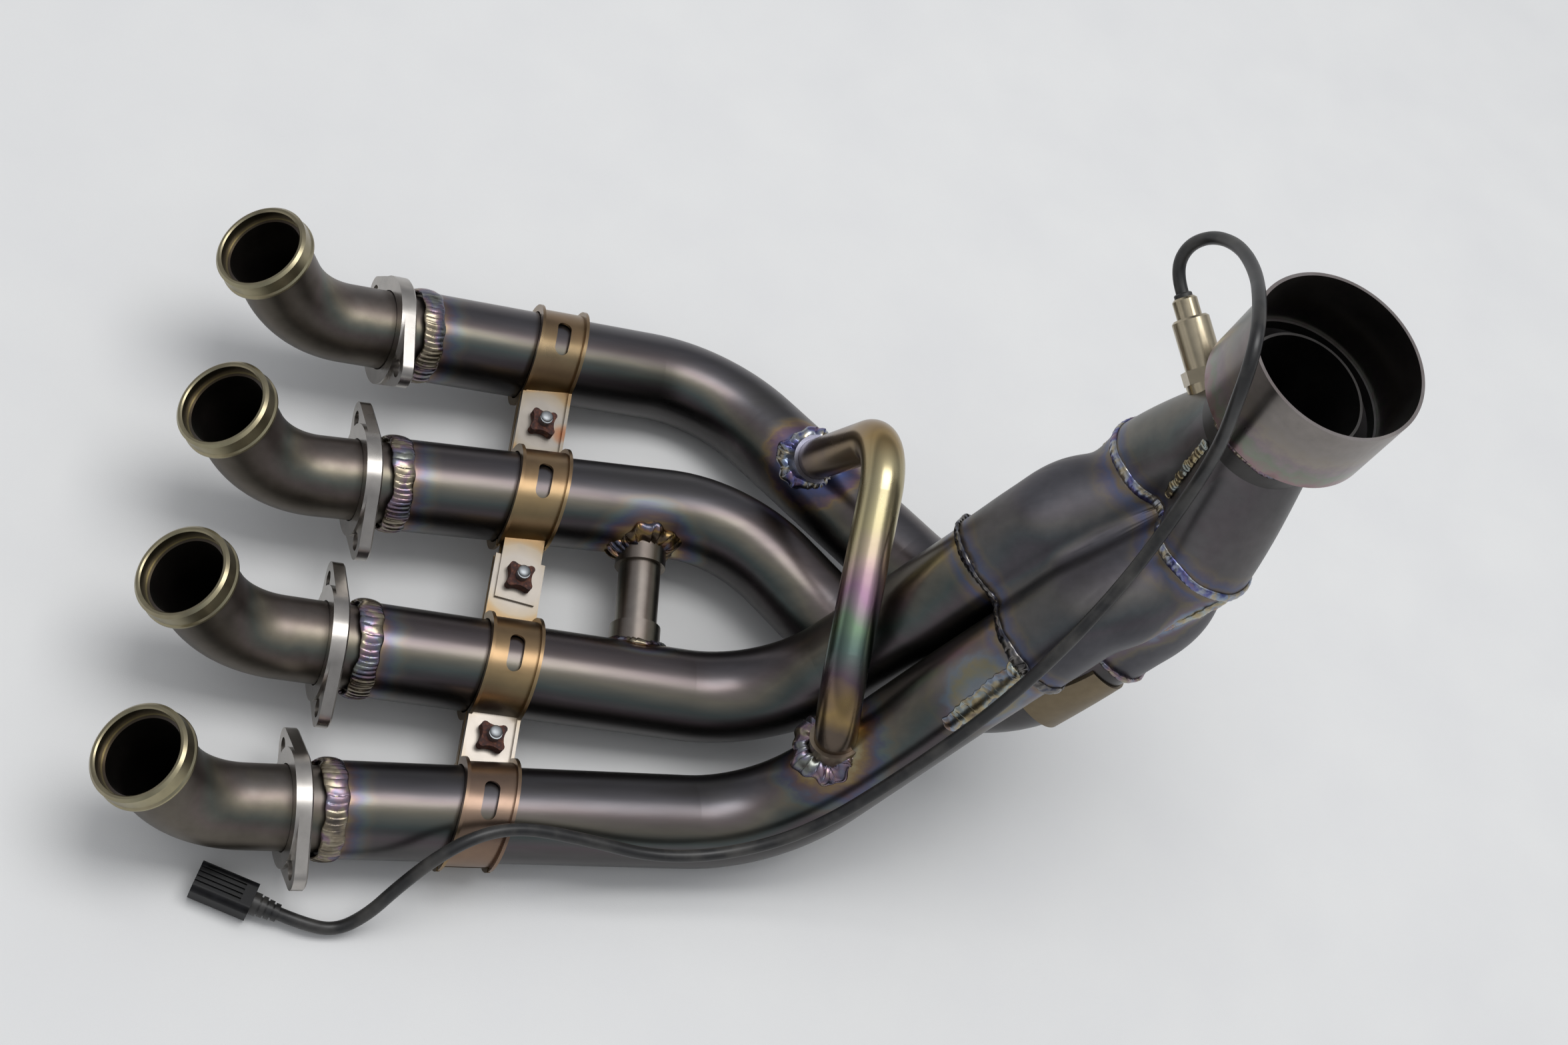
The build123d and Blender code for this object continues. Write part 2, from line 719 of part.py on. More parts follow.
def strap(first, side):
    """Half of the clamp over two pipes: lipped channel with bolt holes, and slots at the rear."""
    trough = strap_room(first, side, STRAP_WIDTH - 2 * STRAP_SHEET, STRAP_SPLIT / 2)
    trough = trough - strap_form(first, side, STRAP_SHEET)
    room = strap_room(first, side, STRAP_WIDTH, STRAP_SPLIT)
    body = strap_form(first, side, STRAP_SHEET + STRAP_LIP) & room
    body = body - trough + strap_tab(first, side)
    for i in (first, first + 1):
        body = body - saddle(i, STRAP_RADIUS)
        if side > 0:
            slot = extrude(SlotOverall(SLOT_LENGTH, SLOT_WIDTH, rotation=90), 2 * STRAP_RADIUS)
            body = body - Pos(STRAP_POINTS[i]) * slot
    for k in {first, 1}:
        hole = Cylinder(BOLT_THREAD / 2 + BOLT_CLEARANCE, 2 * STRAP_RADIUS)
        body = body - Pos(STRAP_AT, bolt_place(k), parting(k)) * hole
    return body


def bolt_place(k):
    """Place of bolt k along the row, midway between two pipes."""
    return (STRAP_POINTS[k].Y + STRAP_POINTS[k + 1].Y) / 2


def web_stack(k):
    """Height of the strap's face over web k, from the middle of the webs."""
    sheets = 2 if k == 1 else 1
    return STRAP_SPLIT + sheets * STRAP_SHEET + (sheets - 1) * SOCKET_CLEARANCE


def strap_bolts():
    """Three bolts with their heads at the front of the machine."""
    bolts = []
    for k in range(3):
        stack = web_stack(k)
        tip = stack + NUT_HEIGHT + BOLT_PROUD
        shank = Pos(0, 0, -stack) * extrude(Circle(BOLT_THREAD / 2), tip + stack)
        head = Pos(0, 0, -stack - BOLT_HEAD_HEIGHT) * extrude(
            RegularPolygon(BOLT_HEAD / 2, 6, major_radius=False), BOLT_HEAD_HEIGHT
        )
        bolts.append(Pos(STRAP_AT, bolt_place(k), parting(k)) * (shank + head))
    return Compound(children=bolts)


def strap_nuts():
    """Three square nuts with hollowed sides and rounded corners."""
    outline = RectangleRounded(NUT_SIDE, NUT_SIDE, NUT_CORNER)
    outline = outline - Circle(BOLT_THREAD / 2 + SOCKET_CLEARANCE)
    away = NUT_SIDE / 2 + NUT_SCOOP_RADIUS - NUT_SCOOP
    for x, y in ((away, 0), (-away, 0), (0, away), (0, -away)):
        outline = outline - Pos(x, y) * Circle(NUT_SCOOP_RADIUS)
    nut = extrude(outline, NUT_HEIGHT)
    places = [Pos(STRAP_AT, bolt_place(k), parting(k) + web_stack(k)) for k in range(3)]
    return Compound(children=[place * nut for place in places])


def lower_pad():
    """Curved pad on the lower side of pipe 3, ahead of the lower shell."""
    inner = PIPE_OD / 2 + PAD_CLEARANCE
    points = [
        vec(PIPE_CORNERS[2][-1]),
        collector_cell(2, LOWER_LEAD),
        collector_cell(2, LOWER_INLET + LOWER_INSERT),
    ]
    path = path_through(points, PIPE_BENDS[2][-1:])
    pad = rod(path, inner + PAD_SHEET)
    half = PIPE_SPACING / 2
    far = 20 * PIPE_SPACING
    whole = (-far, far)
    away = (
        ((-far, half + PAD_EDGE), whole, whole),
        (whole, (-far, half - PAD_TOP), whole),
        (whole, whole, (-far, PAD_START)),
        (whole, whole, (PAD_END, far)),
    )
    for limits in away:
        pad = pad - COLLECTOR * block(*limits)
    return pad - rod(path, inner)


def build():
    """All nodes in the header's frame."""
    nodes = {}
    inner, outer = balance_paths()
    ring_2, port_2 = balance_end(inner, 1)
    ring_3, port_3 = balance_end(inner[::-1], 2)
    ring_1, port_1 = balance_end(outer, 0)
    ring_4, port_4 = balance_end(outer[::-1], 3)
    ports = ([port_1], [port_2], [port_3], [port_4])
    for i in PIPES:
        n = i + 1
        nodes[f"inlet_collar_{n}"] = Plane(origin=inlet(i), z_dir=INTO_STUB) * inlet_collar()
        nodes[f"inlet_stub_{n}"] = inlet_stub(i)
        nodes[f"flange_{n}"] = flange(i)
        nodes[f"primary_pipe_{n}"] = primary_pipe(i, ports[i])
    nodes["balance_tube_inner"] = balance_tube(inner, (), (1, 2))
    nodes["balance_tube_outer"] = balance_tube(outer, OUTER_BENDS, (0, 3))
    for n, ring in enumerate((ring_1, ring_2, ring_3, ring_4), 1):
        nodes[f"balance_ring_{n}"] = ring
    upper, lower = collector_shells()
    nodes["collector_upper_shell"] = upper
    nodes["collector_lower_shell"] = lower
    nodes["collector_centre_plug"] = centre_plug()
    nodes["two_into_one"] = two_into_one_form(SHELL_WALL) - two_into_one_form(0)
    nodes["outlet_neck"] = outlet_neck()
    nodes["outlet_flare"] = outlet_flare()
    nodes["outlet_sleeve"] = outlet_sleeve()
    nodes.update(sensor_parts())
    for place, first in (("lower", 0), ("upper", 2)):
        nodes[f"strap_rear_{place}"] = strap(first, 1)
        nodes[f"strap_front_{place}"] = strap(first, -1)
    nodes["strap_bolts"] = strap_bolts()
    nodes["strap_nuts"] = strap_nuts()
    nodes["lower_pad"] = lower_pad()
    return nodes


def resting(nodes):
    """Placement that lays the header on its front, its middle over the origin."""
    turn = Rot(0, REST_PITCH, 0) * Rot(REST_ROLL, 0, 0)
    boxes = [(turn * solid).bounding_box() for solid in nodes.values()]
    low_x, low_y, low_z = [min(side) for side in zip(*[tuple(box.min) for box in boxes])]
    high_x, high_y, _ = [max(side) for side in zip(*[tuple(box.max) for box in boxes])]
    return Pos(-(low_x + high_x) / 2, -(low_y + high_y) / 2, -low_z) * turn


def cable_points(place):
    """Route of the cable from the grommet to the plug."""
    heights = (CABLE_FOOT, CABLE_FOOT + CABLE_LEAD)
    lead = [(place * Location(sensor_frame(height))).position for height in heights]
    return lead + [vec(point) for point in CABLE_ROUTE]


def easy_bends(points):
    """Bend radius at each corner, which uses a share of the shorter run beside it."""
    radii = []
    for before, corner, after in zip(points, points[1:], points[2:]):
        run_in = corner - before
        run_out = after - corner
        half_turn = radians(run_in.get_angle(run_out)) / 2
        radii.append(BEND_SHARE * min(run_in.length, run_out.length) / tan(half_turn))
    return radii


def sensor_cable(place):
    """Cable in its black sheath."""
    points = cable_points(place)
    radii = easy_bends(points)
    path = path_through(points, radii)
    cable = rod(path, CABLE_OD / 2)
    section = pi * CABLE_OD**2 / 4
    print("cable bend radii", [round(radius, 1) for radius in radii])
    print("cable length", round(path.length, 1), "volume over section", round(cable.volume / section, 1))
    return cable


def plug_frame(along):
    """Plane across the plug at a distance from the cable's end."""
    before, end = [vec(point) for point in CABLE_ROUTE[-2:]]
    axis = (end - before).normalized()
    return frame_at(end + axis * along, axis, Vector(0, 0, 1))


def plug_boot():
    """Tapered rubber boot with grooves round it."""
    root = BOOT_ROOT_OD / 2
    rise = (BOOT_OD - BOOT_ROOT_OD) / 2
    pitch = BOOT_LENGTH / (BOOT_GROOVES + 1)
    profile = [(0, 0)]
    for k in range(BOOT_GROOVES):
        radius = root + rise * k / BOOT_GROOVES
        groove = radius - BOOT_GROOVE
        end = (k + 1) * pitch
        profile += [(radius, end - pitch), (radius, end - BOOT_GROOVE)]
        profile += [(groove, end - BOOT_GROOVE), (groove, end)]
    profile += [(root + rise, BOOT_LENGTH - pitch), (root + rise, BOOT_LENGTH), (0, BOOT_LENGTH)]
    return plug_frame(0) * turned(profile)


def plug_body():
    """Hollow plug with a collar, grip ribs along two sides and an open socket."""
    outline = RectangleRounded(PLUG_BODY_HEIGHT, PLUG_BODY_WIDTH, PLUG_BODY_CORNER)
    body = extrude(outline, PLUG_BODY_LENGTH)
    pitch = (PLUG_BODY_WIDTH - 2 * PLUG_BODY_CORNER) / PLUG_RIBS
    length = PLUG_BODY_LENGTH - PLUG_COLLAR
    groove = Box(2 * PLUG_RIB_DEPTH, PLUG_RIB_GAP, length)
    for side in (-1, 1):
        for k in range(PLUG_RIBS):
            across = (k - (PLUG_RIBS - 1) / 2) * pitch
            place = Pos(side * PLUG_BODY_HEIGHT / 2, across, PLUG_COLLAR + length / 2)
            body = body - place * groove
    wall = PLUG_WALL + PLUG_RIB_DEPTH
    socket = Rectangle(PLUG_BODY_HEIGHT - 2 * wall, PLUG_BODY_WIDTH - 2 * wall)
    body = body - Pos(0, 0, PLUG_BODY_LENGTH - PLUG_SOCKET_DEPTH) * extrude(socket, PLUG_SOCKET_DEPTH)
    return plug_frame(BOOT_LENGTH) * body


def cord(place):
    """Cable and the pieces of its plug, as they lie beside the header."""
    return {
        "sensor_cable": sensor_cable(place),
        "plug_boot": plug_boot(),
        "plug_body": plug_body(),
    }


def main():
    os.makedirs("parts", exist_ok=True)
    header = build()
    place = resting(header)
    nodes = {name: place * solid for name, solid in header.items()}
    nodes.update(cord(place))
    for name, solid in nodes.items():
        export_step(solid, f"parts/{name}.step")


if __name__ == "__main__":
    main()
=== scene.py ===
# %% [markdown]
# # A motorcycle exhaust header in heat-stained titanium
# Four bent pipes run from the cylinder head to a merge collector and one outlet. The solids come
# from the imported CAD part. This lesson adds what the solids lack: rippled weld beads, heat colours,
# rust, soot with painted shade in the bores, painted sheen, the sensor's cable, and the light of a
# plain white studio.

# %% Load the frame
import json
import bpy
import numpy as np
from mathutils import Matrix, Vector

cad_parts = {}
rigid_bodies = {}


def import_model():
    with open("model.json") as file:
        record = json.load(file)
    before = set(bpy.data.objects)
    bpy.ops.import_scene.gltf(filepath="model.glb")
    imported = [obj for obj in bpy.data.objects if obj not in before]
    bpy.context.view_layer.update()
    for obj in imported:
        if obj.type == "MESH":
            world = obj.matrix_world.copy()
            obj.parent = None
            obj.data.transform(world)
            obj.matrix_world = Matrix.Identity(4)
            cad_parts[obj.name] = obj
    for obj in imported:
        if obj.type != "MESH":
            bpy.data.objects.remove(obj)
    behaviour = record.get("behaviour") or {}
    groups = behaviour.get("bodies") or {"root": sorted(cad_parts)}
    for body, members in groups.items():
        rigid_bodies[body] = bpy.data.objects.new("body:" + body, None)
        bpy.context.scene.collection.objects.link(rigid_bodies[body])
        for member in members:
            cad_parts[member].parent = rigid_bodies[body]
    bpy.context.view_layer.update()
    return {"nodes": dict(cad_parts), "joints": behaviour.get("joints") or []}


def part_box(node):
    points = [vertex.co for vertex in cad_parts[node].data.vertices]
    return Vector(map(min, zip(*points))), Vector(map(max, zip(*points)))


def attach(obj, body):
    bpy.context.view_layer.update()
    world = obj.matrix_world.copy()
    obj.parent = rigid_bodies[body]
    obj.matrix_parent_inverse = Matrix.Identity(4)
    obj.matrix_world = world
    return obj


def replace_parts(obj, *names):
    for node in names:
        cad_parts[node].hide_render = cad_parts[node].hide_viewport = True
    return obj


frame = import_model()
NODES = frame["nodes"]
NUMBERS = (1, 2, 3, 4)
MM = 0.001

# %% [markdown]
# ## Camera
# The photograph was taken from above the inlets, a little more than a metre away. A camera can be
# placed by eye, but a fitted one lets the render and the photograph lie over each other. This one's
# place and axes were fitted to the row of round inlets, which are alike and evenly spaced.

# %% Camera
CAMERA_AT = np.array((-247.92, -549.9, 1023.64)) * MM
CAMERA_RIGHT = np.array((0.93732, 0.07689, 0.33989))
CAMERA_DOWN = np.array((0.23774, -0.8542, -0.46242))
CAMERA_FORWARD = np.array((0.25482, 0.51424, -0.81892))
IMAGE_WIDTH = 2352
FOCAL_PIXELS = 3700
SENSOR_MM = 36.0

camera = bpy.data.objects.new("camera", bpy.data.cameras.new("camera"))
bpy.context.scene.collection.objects.link(camera)
pose = np.eye(4)
pose[:3, :] = np.column_stack((CAMERA_RIGHT, -CAMERA_DOWN, -CAMERA_FORWARD, CAMERA_AT))
camera.matrix_world = Matrix(pose.tolist())
camera.data.sensor_width = SENSOR_MM
camera.data.lens = FOCAL_PIXELS / IMAGE_WIDTH * SENSOR_MM
bpy.context.scene.camera = camera
bpy.context.scene.view_settings.view_transform = "Standard"
print("lens", round(camera.data.lens, 1), "mm")

# %% [markdown]
# ## Places
# Welds, mouths and bolts are where the added pieces and colours go. Each place could be typed in, but
# one that is taken from the frame follows the part. The hinges of the loose flanges lie on the pipes'
# axes, so they give where each pipe starts, and a collar or a ring has its middle in that of its box.
# The axes of the collector and the outlet are few enough to write down.

# %% Places of the welds and mouths
WELD_AFTER_FLANGE = 11.5 * MM
HINGES = [joint for joint in frame["joints"] if joint["name"].endswith("_turn")]
PIPE_AXES = [np.array(hinge["axis"]) for hinge in HINGES]
PIPE_WELDS = [np.array(hinge["pos_m"]) + axis * WELD_AFTER_FLANGE for hinge, axis in zip(HINGES, PIPE_AXES)]
MOUTH_AXIS = np.array((-0.56813, -0.058978, 0.820823))
MOUTHS = [np.mean(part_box(f"inlet_collar_{n}"), axis=0) for n in NUMBERS]
# A saddle is the ring of a balance tube on its pipe, and its axis points along the tube's end.
SADDLES = [np.mean(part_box(f"balance_ring_{n}"), axis=0) for n in NUMBERS]
SADDLE_AXES = [np.array(axis) / np.linalg.norm(axis) for axis in (
    (-16.8, 10.0, 48.9), (-5.0, 91.8, 4.9), (5.0, -91.8, -4.9), (6.8, -47.2, 117.0),
)]
BOLTS = np.array(((-67.3, -75.4, 28.7), (-66.9, 3.9, 33.8), (-66.9, 89.8, 33.9))) * MM
# The collector runs from its mouth to its seam with the two-into-one.
COLLECTOR_AT = np.array((150.6, -2.2, 128.6)) * MM
COLLECTOR_SIDE = np.array((0.4363, -0.8961, 0.0821))
COLLECTOR_DOWN = np.array((0.7651, 0.3214, -0.558))
COLLECTOR_ALONG = np.array((0.4737, 0.3062, 0.8257))
SEAM_AT = np.array((186.9, 22.3, 202.9)) * MM
SEAM_DOWN = np.array((0.8809, 0.4067, -0.242))
SEAM_ALONG = np.array((0.1834, 0.1779, 0.9668))
OUTLET_AT = np.array((195.2, 30.7, 323.3)) * MM
OUTLET_AXIS = np.array((-0.0027, -0.018, 0.9998))
print("welds in mm", [np.round(weld / MM).tolist() for weld in PIPE_WELDS])

# %% [markdown]
# ## Nodes and colours
# Colours are written as they look on screen, in sRGB hex, and one function turns them to the linear
# values that shaders use. Nodes can be set by hand in the editor, but a script can be run again, so
# one small function adds a node, sets its sockets and links its inputs.

# %% Colour and node helpers
# Places of a colour mix node's sockets: its factor, its two colours and its result.
FACTOR, UNDER, OVER, MIXED = 0, 6, 7, 2


def linear(hex_colour, alpha=1.0):
    """Linear RGBA of an sRGB hex colour: each channel below 0.04 over 12.92, else a power of 2.4."""
    srgb = np.array([int(hex_colour[k:k + 2], 16) for k in (1, 3, 5)]) / 255
    rgb = np.where(srgb <= 0.04045, srgb / 12.92, ((srgb + 0.055) / 1.055) ** 2.4)
    return (*rgb.tolist(), alpha)


def add(tree, kind, settings=None, inputs=None):
    """Adds a node. Settings are its properties; inputs are values or sockets to link."""
    node = tree.nodes.new(kind)
    for name, value in (settings or {}).items():
        setattr(node, name, value)
    for key, value in (inputs or {}).items():
        if isinstance(value, bpy.types.NodeSocket):
            tree.links.new(value, node.inputs[key])
        else:
            node.inputs[key].default_value = value
    return node


def new_material(name):
    """A material, its node tree and its Principled shader."""
    material = bpy.data.materials.new(name)
    material.use_nodes = True
    tree = material.node_tree
    return material, tree, tree.nodes["Principled BSDF"]


def set_ramp(node, stops):
    """Colour stops of a ramp: (place, hex colour, alpha)."""
    ramp = node.color_ramp
    while len(ramp.elements) < len(stops):
        ramp.elements.new(1.0)
    for element, (place, colour, alpha) in zip(ramp.elements, stops):
        element.position = place
        element.color = linear(colour, alpha)
    return node


def dress(material, *names):
    """Gives CAD nodes a material."""
    for name in names:
        NODES[name].data.materials.clear()
        NODES[name].data.materials.append(material)


print("linear grey", [round(c, 3) for c in linear("#808080")])

# %% [markdown]
# ## Heat colours
# Titanium that has been hot carries a clear oxide film. Its thickness sets its colour: straw first,
# then bronze, purple, blue and a pale teal. Round a weld the film is thickest at the bead and thins
# out with distance, so the colours lie in rings. They could be painted on a picture, but a distance
# needs no unwrapping: it is measured from a point, or from the plane of a weld, and fed to a ramp
# whose alpha fades the tint out.

# %% Heat tint ramps
WELD_TINT = (
    (0.0, "#a9a59a", 0.7), (0.16, "#c8b98e", 0.7), (0.3, "#a98a5c", 0.65), (0.44, "#7d6068", 0.55),
    (0.58, "#5b6488", 0.5), (0.72, "#6f8384", 0.35), (0.86, "#8a7f68", 0.2), (1.0, "#75716c", 0.0),
)
BLUE_TINT = (
    (0.0, "#b5bccb", 0.8), (0.18, "#5568a6", 0.75), (0.4, "#5a5a86", 0.6), (0.56, "#85647e", 0.5),
    (0.7, "#a98c5e", 0.5), (0.84, "#8f8470", 0.25), (1.0, "#75716c", 0.0),
)
SEAM_TINT = (
    (0.0, "#8d8a86", 0.5), (0.22, "#8f7a55", 0.5), (0.42, "#5a6690", 0.5), (0.58, "#6b6580", 0.35),
    (0.78, "#8a7c62", 0.25), (1.0, "#6a6865", 0.0),
)
SIDE_TINT = (
    (0.0, "#a9b4bd", 0.85), (0.25, "#b9ad86", 0.8), (0.42, "#8f9fb5", 0.75), (0.6, "#8a7a86", 0.5),
    (0.8, "#8f8468", 0.35), (1.0, "#6a6865", 0.0),
)
SLEEVE_TINT = (
    (0.0, "#6e5f4e", 0.8), (0.2, "#9a7a80", 0.75), (0.38, "#7d8a78", 0.65), (0.56, "#8c7c86", 0.5),
    (0.76, "#9a9080", 0.35), (1.0, "#8a8582", 0.0),
)
# Painted sheen: film colours laid by which way a surface faces, as light would fall on it, with a pale
# painted highlight on the side that faces the light.
SLOPE_TINT = (
    (0.3, "#6a6865", 0.0), (0.46, "#76666e", 0.5), (0.58, "#6a7c78", 0.6), (0.7, "#9a937f", 0.6),
    (0.8, "#857474", 0.5), (0.9, "#75727c", 0.4), (1.0, "#6a6865", 0.0),
)
print("tint stops", len(WELD_TINT), len(BLUE_TINT), len(SEAM_TINT), len(SLOPE_TINT))

# %% Tints and distances
# How far the noise moves a tint's edge, as a share of the tint's reach.
EDGE_SHAKE = 0.5


def tint_over(tree, colour, amount, stops, share=1.0):
    """Lays a ramp of tints over a colour; amount runs from 0 at the weld to 1 where it has faded."""
    ramp = set_ramp(add(tree, "ShaderNodeValToRGB", None, {"Fac": amount}), stops)
    cover = add(tree, "ShaderNodeMath", {"operation": "MULTIPLY"}, {0: ramp.outputs["Alpha"], 1: share})
    inputs = {FACTOR: cover.outputs[0], UNDER: colour, OVER: ramp.outputs["Color"]}
    return add(tree, "ShaderNodeMix", {"data_type": "RGBA"}, inputs).outputs[MIXED]


def tint_again(material, amount, stops):
    """Lays a ramp of tints over the colour that a finished material has."""
    tree = material.node_tree
    colour = tree.nodes["Principled BSDF"].inputs["Base Color"]
    tree.links.new(tint_over(tree, colour.links[0].from_socket, amount, stops), colour)


def wavering(tree, distance, noise, reach, start=0.0):
    """Distance from start to start + reach as 0 to 1, with an edge that noise makes uneven."""
    inputs = {0: noise, 1: EDGE_SHAKE * reach, 2: distance}
    shaken = add(tree, "ShaderNodeMath", {"operation": "MULTIPLY_ADD"}, inputs)
    low = start + EDGE_SHAKE / 2 * reach
    limits = {"Value": shaken.outputs[0], "From Min": low, "From Max": low + reach}
    return add(tree, "ShaderNodeMapRange", None, limits).outputs["Result"]


def from_point(tree, place, centre):
    """Distance of each point from a centre."""
    inputs = {0: place, 1: tuple(centre)}
    return add(tree, "ShaderNodeVectorMath", {"operation": "DISTANCE"}, inputs).outputs["Value"]


def from_plane(tree, place, origin, axis):
    """Distance of each point, on either side, from the plane through origin square to axis."""
    turned = add(tree, "ShaderNodeVectorMath", {"operation": "DOT_PRODUCT"}, {0: place, 1: tuple(axis)})
    inputs = {0: turned.outputs["Value"], 1: float(np.dot(origin, axis))}
    offset = add(tree, "ShaderNodeMath", {"operation": "SUBTRACT"}, inputs)
    return add(tree, "ShaderNodeMath", {"operation": "ABSOLUTE"}, {0: offset.outputs[0]}).outputs[0]


def from_line(tree, place, origin, axis):
    """Distance of each point from the line through origin along axis: length of a cross product."""
    inputs = {0: place, 1: tuple(origin)}
    offset = add(tree, "ShaderNodeVectorMath", {"operation": "SUBTRACT"}, inputs).outputs["Vector"]
    inputs = {0: offset, 1: tuple(axis)}
    square = add(tree, "ShaderNodeVectorMath", {"operation": "CROSS_PRODUCT"}, inputs).outputs["Vector"]
    return add(tree, "ShaderNodeVectorMath", {"operation": "LENGTH"}, {0: square}).outputs["Value"]


print("edge shake", EDGE_SHAKE)

# %% [markdown]
# ## Satin metal
# The tube is drawn and pickled titanium, so it is satin and grey, with cloudy patches a few
# centimetres wide, finer mottling where fingers and fumes have touched it, and faint scuffs along its
# length. The oxide film's colours also change round the tube; here they are painted sheen, stripes
# laid by which way the surface faces, as light would fall on it. One even grey would look like paint.
# Metals get their look from roughness as much as from colour, so the clouds move both. The steel
# pieces share this finish.

# %% Grain and painted sheen
DRAWN_OUT = 0.8
# The side towards the light that the painted sheen follows.
FILM_SIDE = (-0.3, 0.3, 0.9)
FILM_CLOUD = 0.7
FILM_LEAST, FILM_MOST = -0.2, 1.5


def drawn_out(tree, place, grain):
    """Place less a part of its run along the grain, so that a pattern on it is drawn out that way."""
    run = add(tree, "ShaderNodeVectorMath", {"operation": "DOT_PRODUCT"}, {0: place, 1: tuple(grain)})
    inputs = {0: tuple(grain), "Scale": run.outputs["Value"]}
    along = add(tree, "ShaderNodeVectorMath", {"operation": "SCALE"}, inputs).outputs["Vector"]
    inputs = {0: along, 1: (-DRAWN_OUT,) * 3, 2: place}
    return add(tree, "ShaderNodeVectorMath", {"operation": "MULTIPLY_ADD"}, inputs).outputs["Vector"]


def film_stripes(tree, normal, cloud):
    """Painted sheen from 0 to 1: how far the surface faces one side, up towards the light, plus a part of the
    clouds.
    """
    inputs = {0: normal, 1: FILM_SIDE}
    slope = add(tree, "ShaderNodeVectorMath", {"operation": "DOT_PRODUCT"}, inputs).outputs["Value"]
    inputs = {0: cloud, 1: FILM_CLOUD, 2: slope}
    film = add(tree, "ShaderNodeMath", {"operation": "MULTIPLY_ADD"}, inputs).outputs[0]
    limits = {"Value": film, "From Min": FILM_LEAST, "From Max": FILM_MOST}
    return add(tree, "ShaderNodeMapRange", None, limits).outputs["Result"]


print("film from", FILM_LEAST, "to", FILM_MOST)

# %% Satin metal
CLOUD_MM = 38.0
# Real scuffs are finer. These are as coarse as they need to be to show.
SCUFF_MM = 0.8
SCUFF_DEPTH = 0.03 * MM
WEAR = 0.3
WEAR_SHARE = 0.6
SMOOTHER, ROUGHER = 0.1, 0.14
# Soot and painted shade: near black inside a bore, standing in for both the soot and the shade in there.
SOOT = ((0.0, "#1d1c1d", 0.97), (0.7, "#1d1c1d", 0.97), (1.0, "#2a2828", 0.0))


def satin_metal(
    name, dark, light, rough, rings=(), planes=(), sheen=0.0, mottle_mm=5.0, soot=None, grain=None,
):
    """Satin metal with clouds, mottling and scuffs, and with the stains that it is given.

    Rings (centre, start, reach, stops, share) and planes (origin, axis, reach, stops, share) carry
    heat tints. Sheen is the share of painted sheen: film colours set by which way the surface
    faces, as light would fall. Soot and shade (origin, axis, radius) blackens what lies near a
    line: real soot, with painted shade inside the bore. Grain is the direction along which the
    patterns are drawn out.
    """
    material, tree, shader = new_material(name)
    coordinates = add(tree, "ShaderNodeTexCoord")
    place = coordinates.outputs["Object"]
    drawn = place if grain is None else drawn_out(tree, place, grain)
    sizes_mm = (CLOUD_MM, mottle_mm, SCUFF_MM)
    noises = [{"Vector": drawn, "Scale": 1 / (size * MM), "Detail": 4.0} for size in sizes_mm]
    cloud, blot, scuff = (add(tree, "ShaderNodeTexNoise", None, noise).outputs["Fac"] for noise in noises)
    inputs = {FACTOR: cloud, UNDER: linear(dark), OVER: linear(light)}
    base = add(tree, "ShaderNodeMix", {"data_type": "RGBA"}, inputs).outputs[MIXED]
    # Painted sheen: film colours laid by which way the surface faces, as light would fall on it.
    if sheen:
        stripes = film_stripes(tree, coordinates.outputs["Normal"], cloud)
        base = tint_over(tree, base, stripes, SLOPE_TINT, sheen)
    for origin, axis, reach, stops, share in planes:
        distance = from_plane(tree, place, origin, axis)
        base = tint_over(tree, base, wavering(tree, distance, blot, reach), stops, share)
    for centre, start, reach, stops, share in rings:
        distance = from_point(tree, place, centre)
        base = tint_over(tree, base, wavering(tree, distance, blot, reach, start), stops, share)
    limits = {"Value": blot, "To Min": 1 - WEAR, "To Max": 1 + WEAR}
    worn = add(tree, "ShaderNodeMapRange", None, limits).outputs["Result"]
    settings = {"data_type": "RGBA", "blend_type": "MULTIPLY"}
    base = add(tree, "ShaderNodeMix", settings, {FACTOR: WEAR_SHARE, UNDER: base, OVER: worn}).outputs[MIXED]
    limits = {"Value": cloud, "To Min": rough - SMOOTHER, "To Max": rough + ROUGHER}
    roughness = add(tree, "ShaderNodeMapRange", None, limits).outputs["Result"]
    # Soot and painted shade: what lies within the radius of the line is blackened.
    if soot:
        origin, axis, radius = soot
        near = from_line(tree, place, origin, axis)
        limits = {"Value": near, "From Min": 0.0, "From Max": radius}
        inside = add(tree, "ShaderNodeMapRange", None, limits).outputs["Result"]
        base = tint_over(tree, base, inside, SOOT)
    inputs = {"Strength": 0.25, "Distance": SCUFF_DEPTH, "Height": scuff}
    bump = add(tree, "ShaderNodeBump", None, inputs)
    tree.links.new(base, shader.inputs["Base Color"])
    tree.links.new(roughness, shader.inputs["Roughness"])
    tree.links.new(bump.outputs["Normal"], shader.inputs["Normal"])
    shader.inputs["Metallic"].default_value = 1.0
    return material


print("patterns in mm", CLOUD_MM, SCUFF_MM)
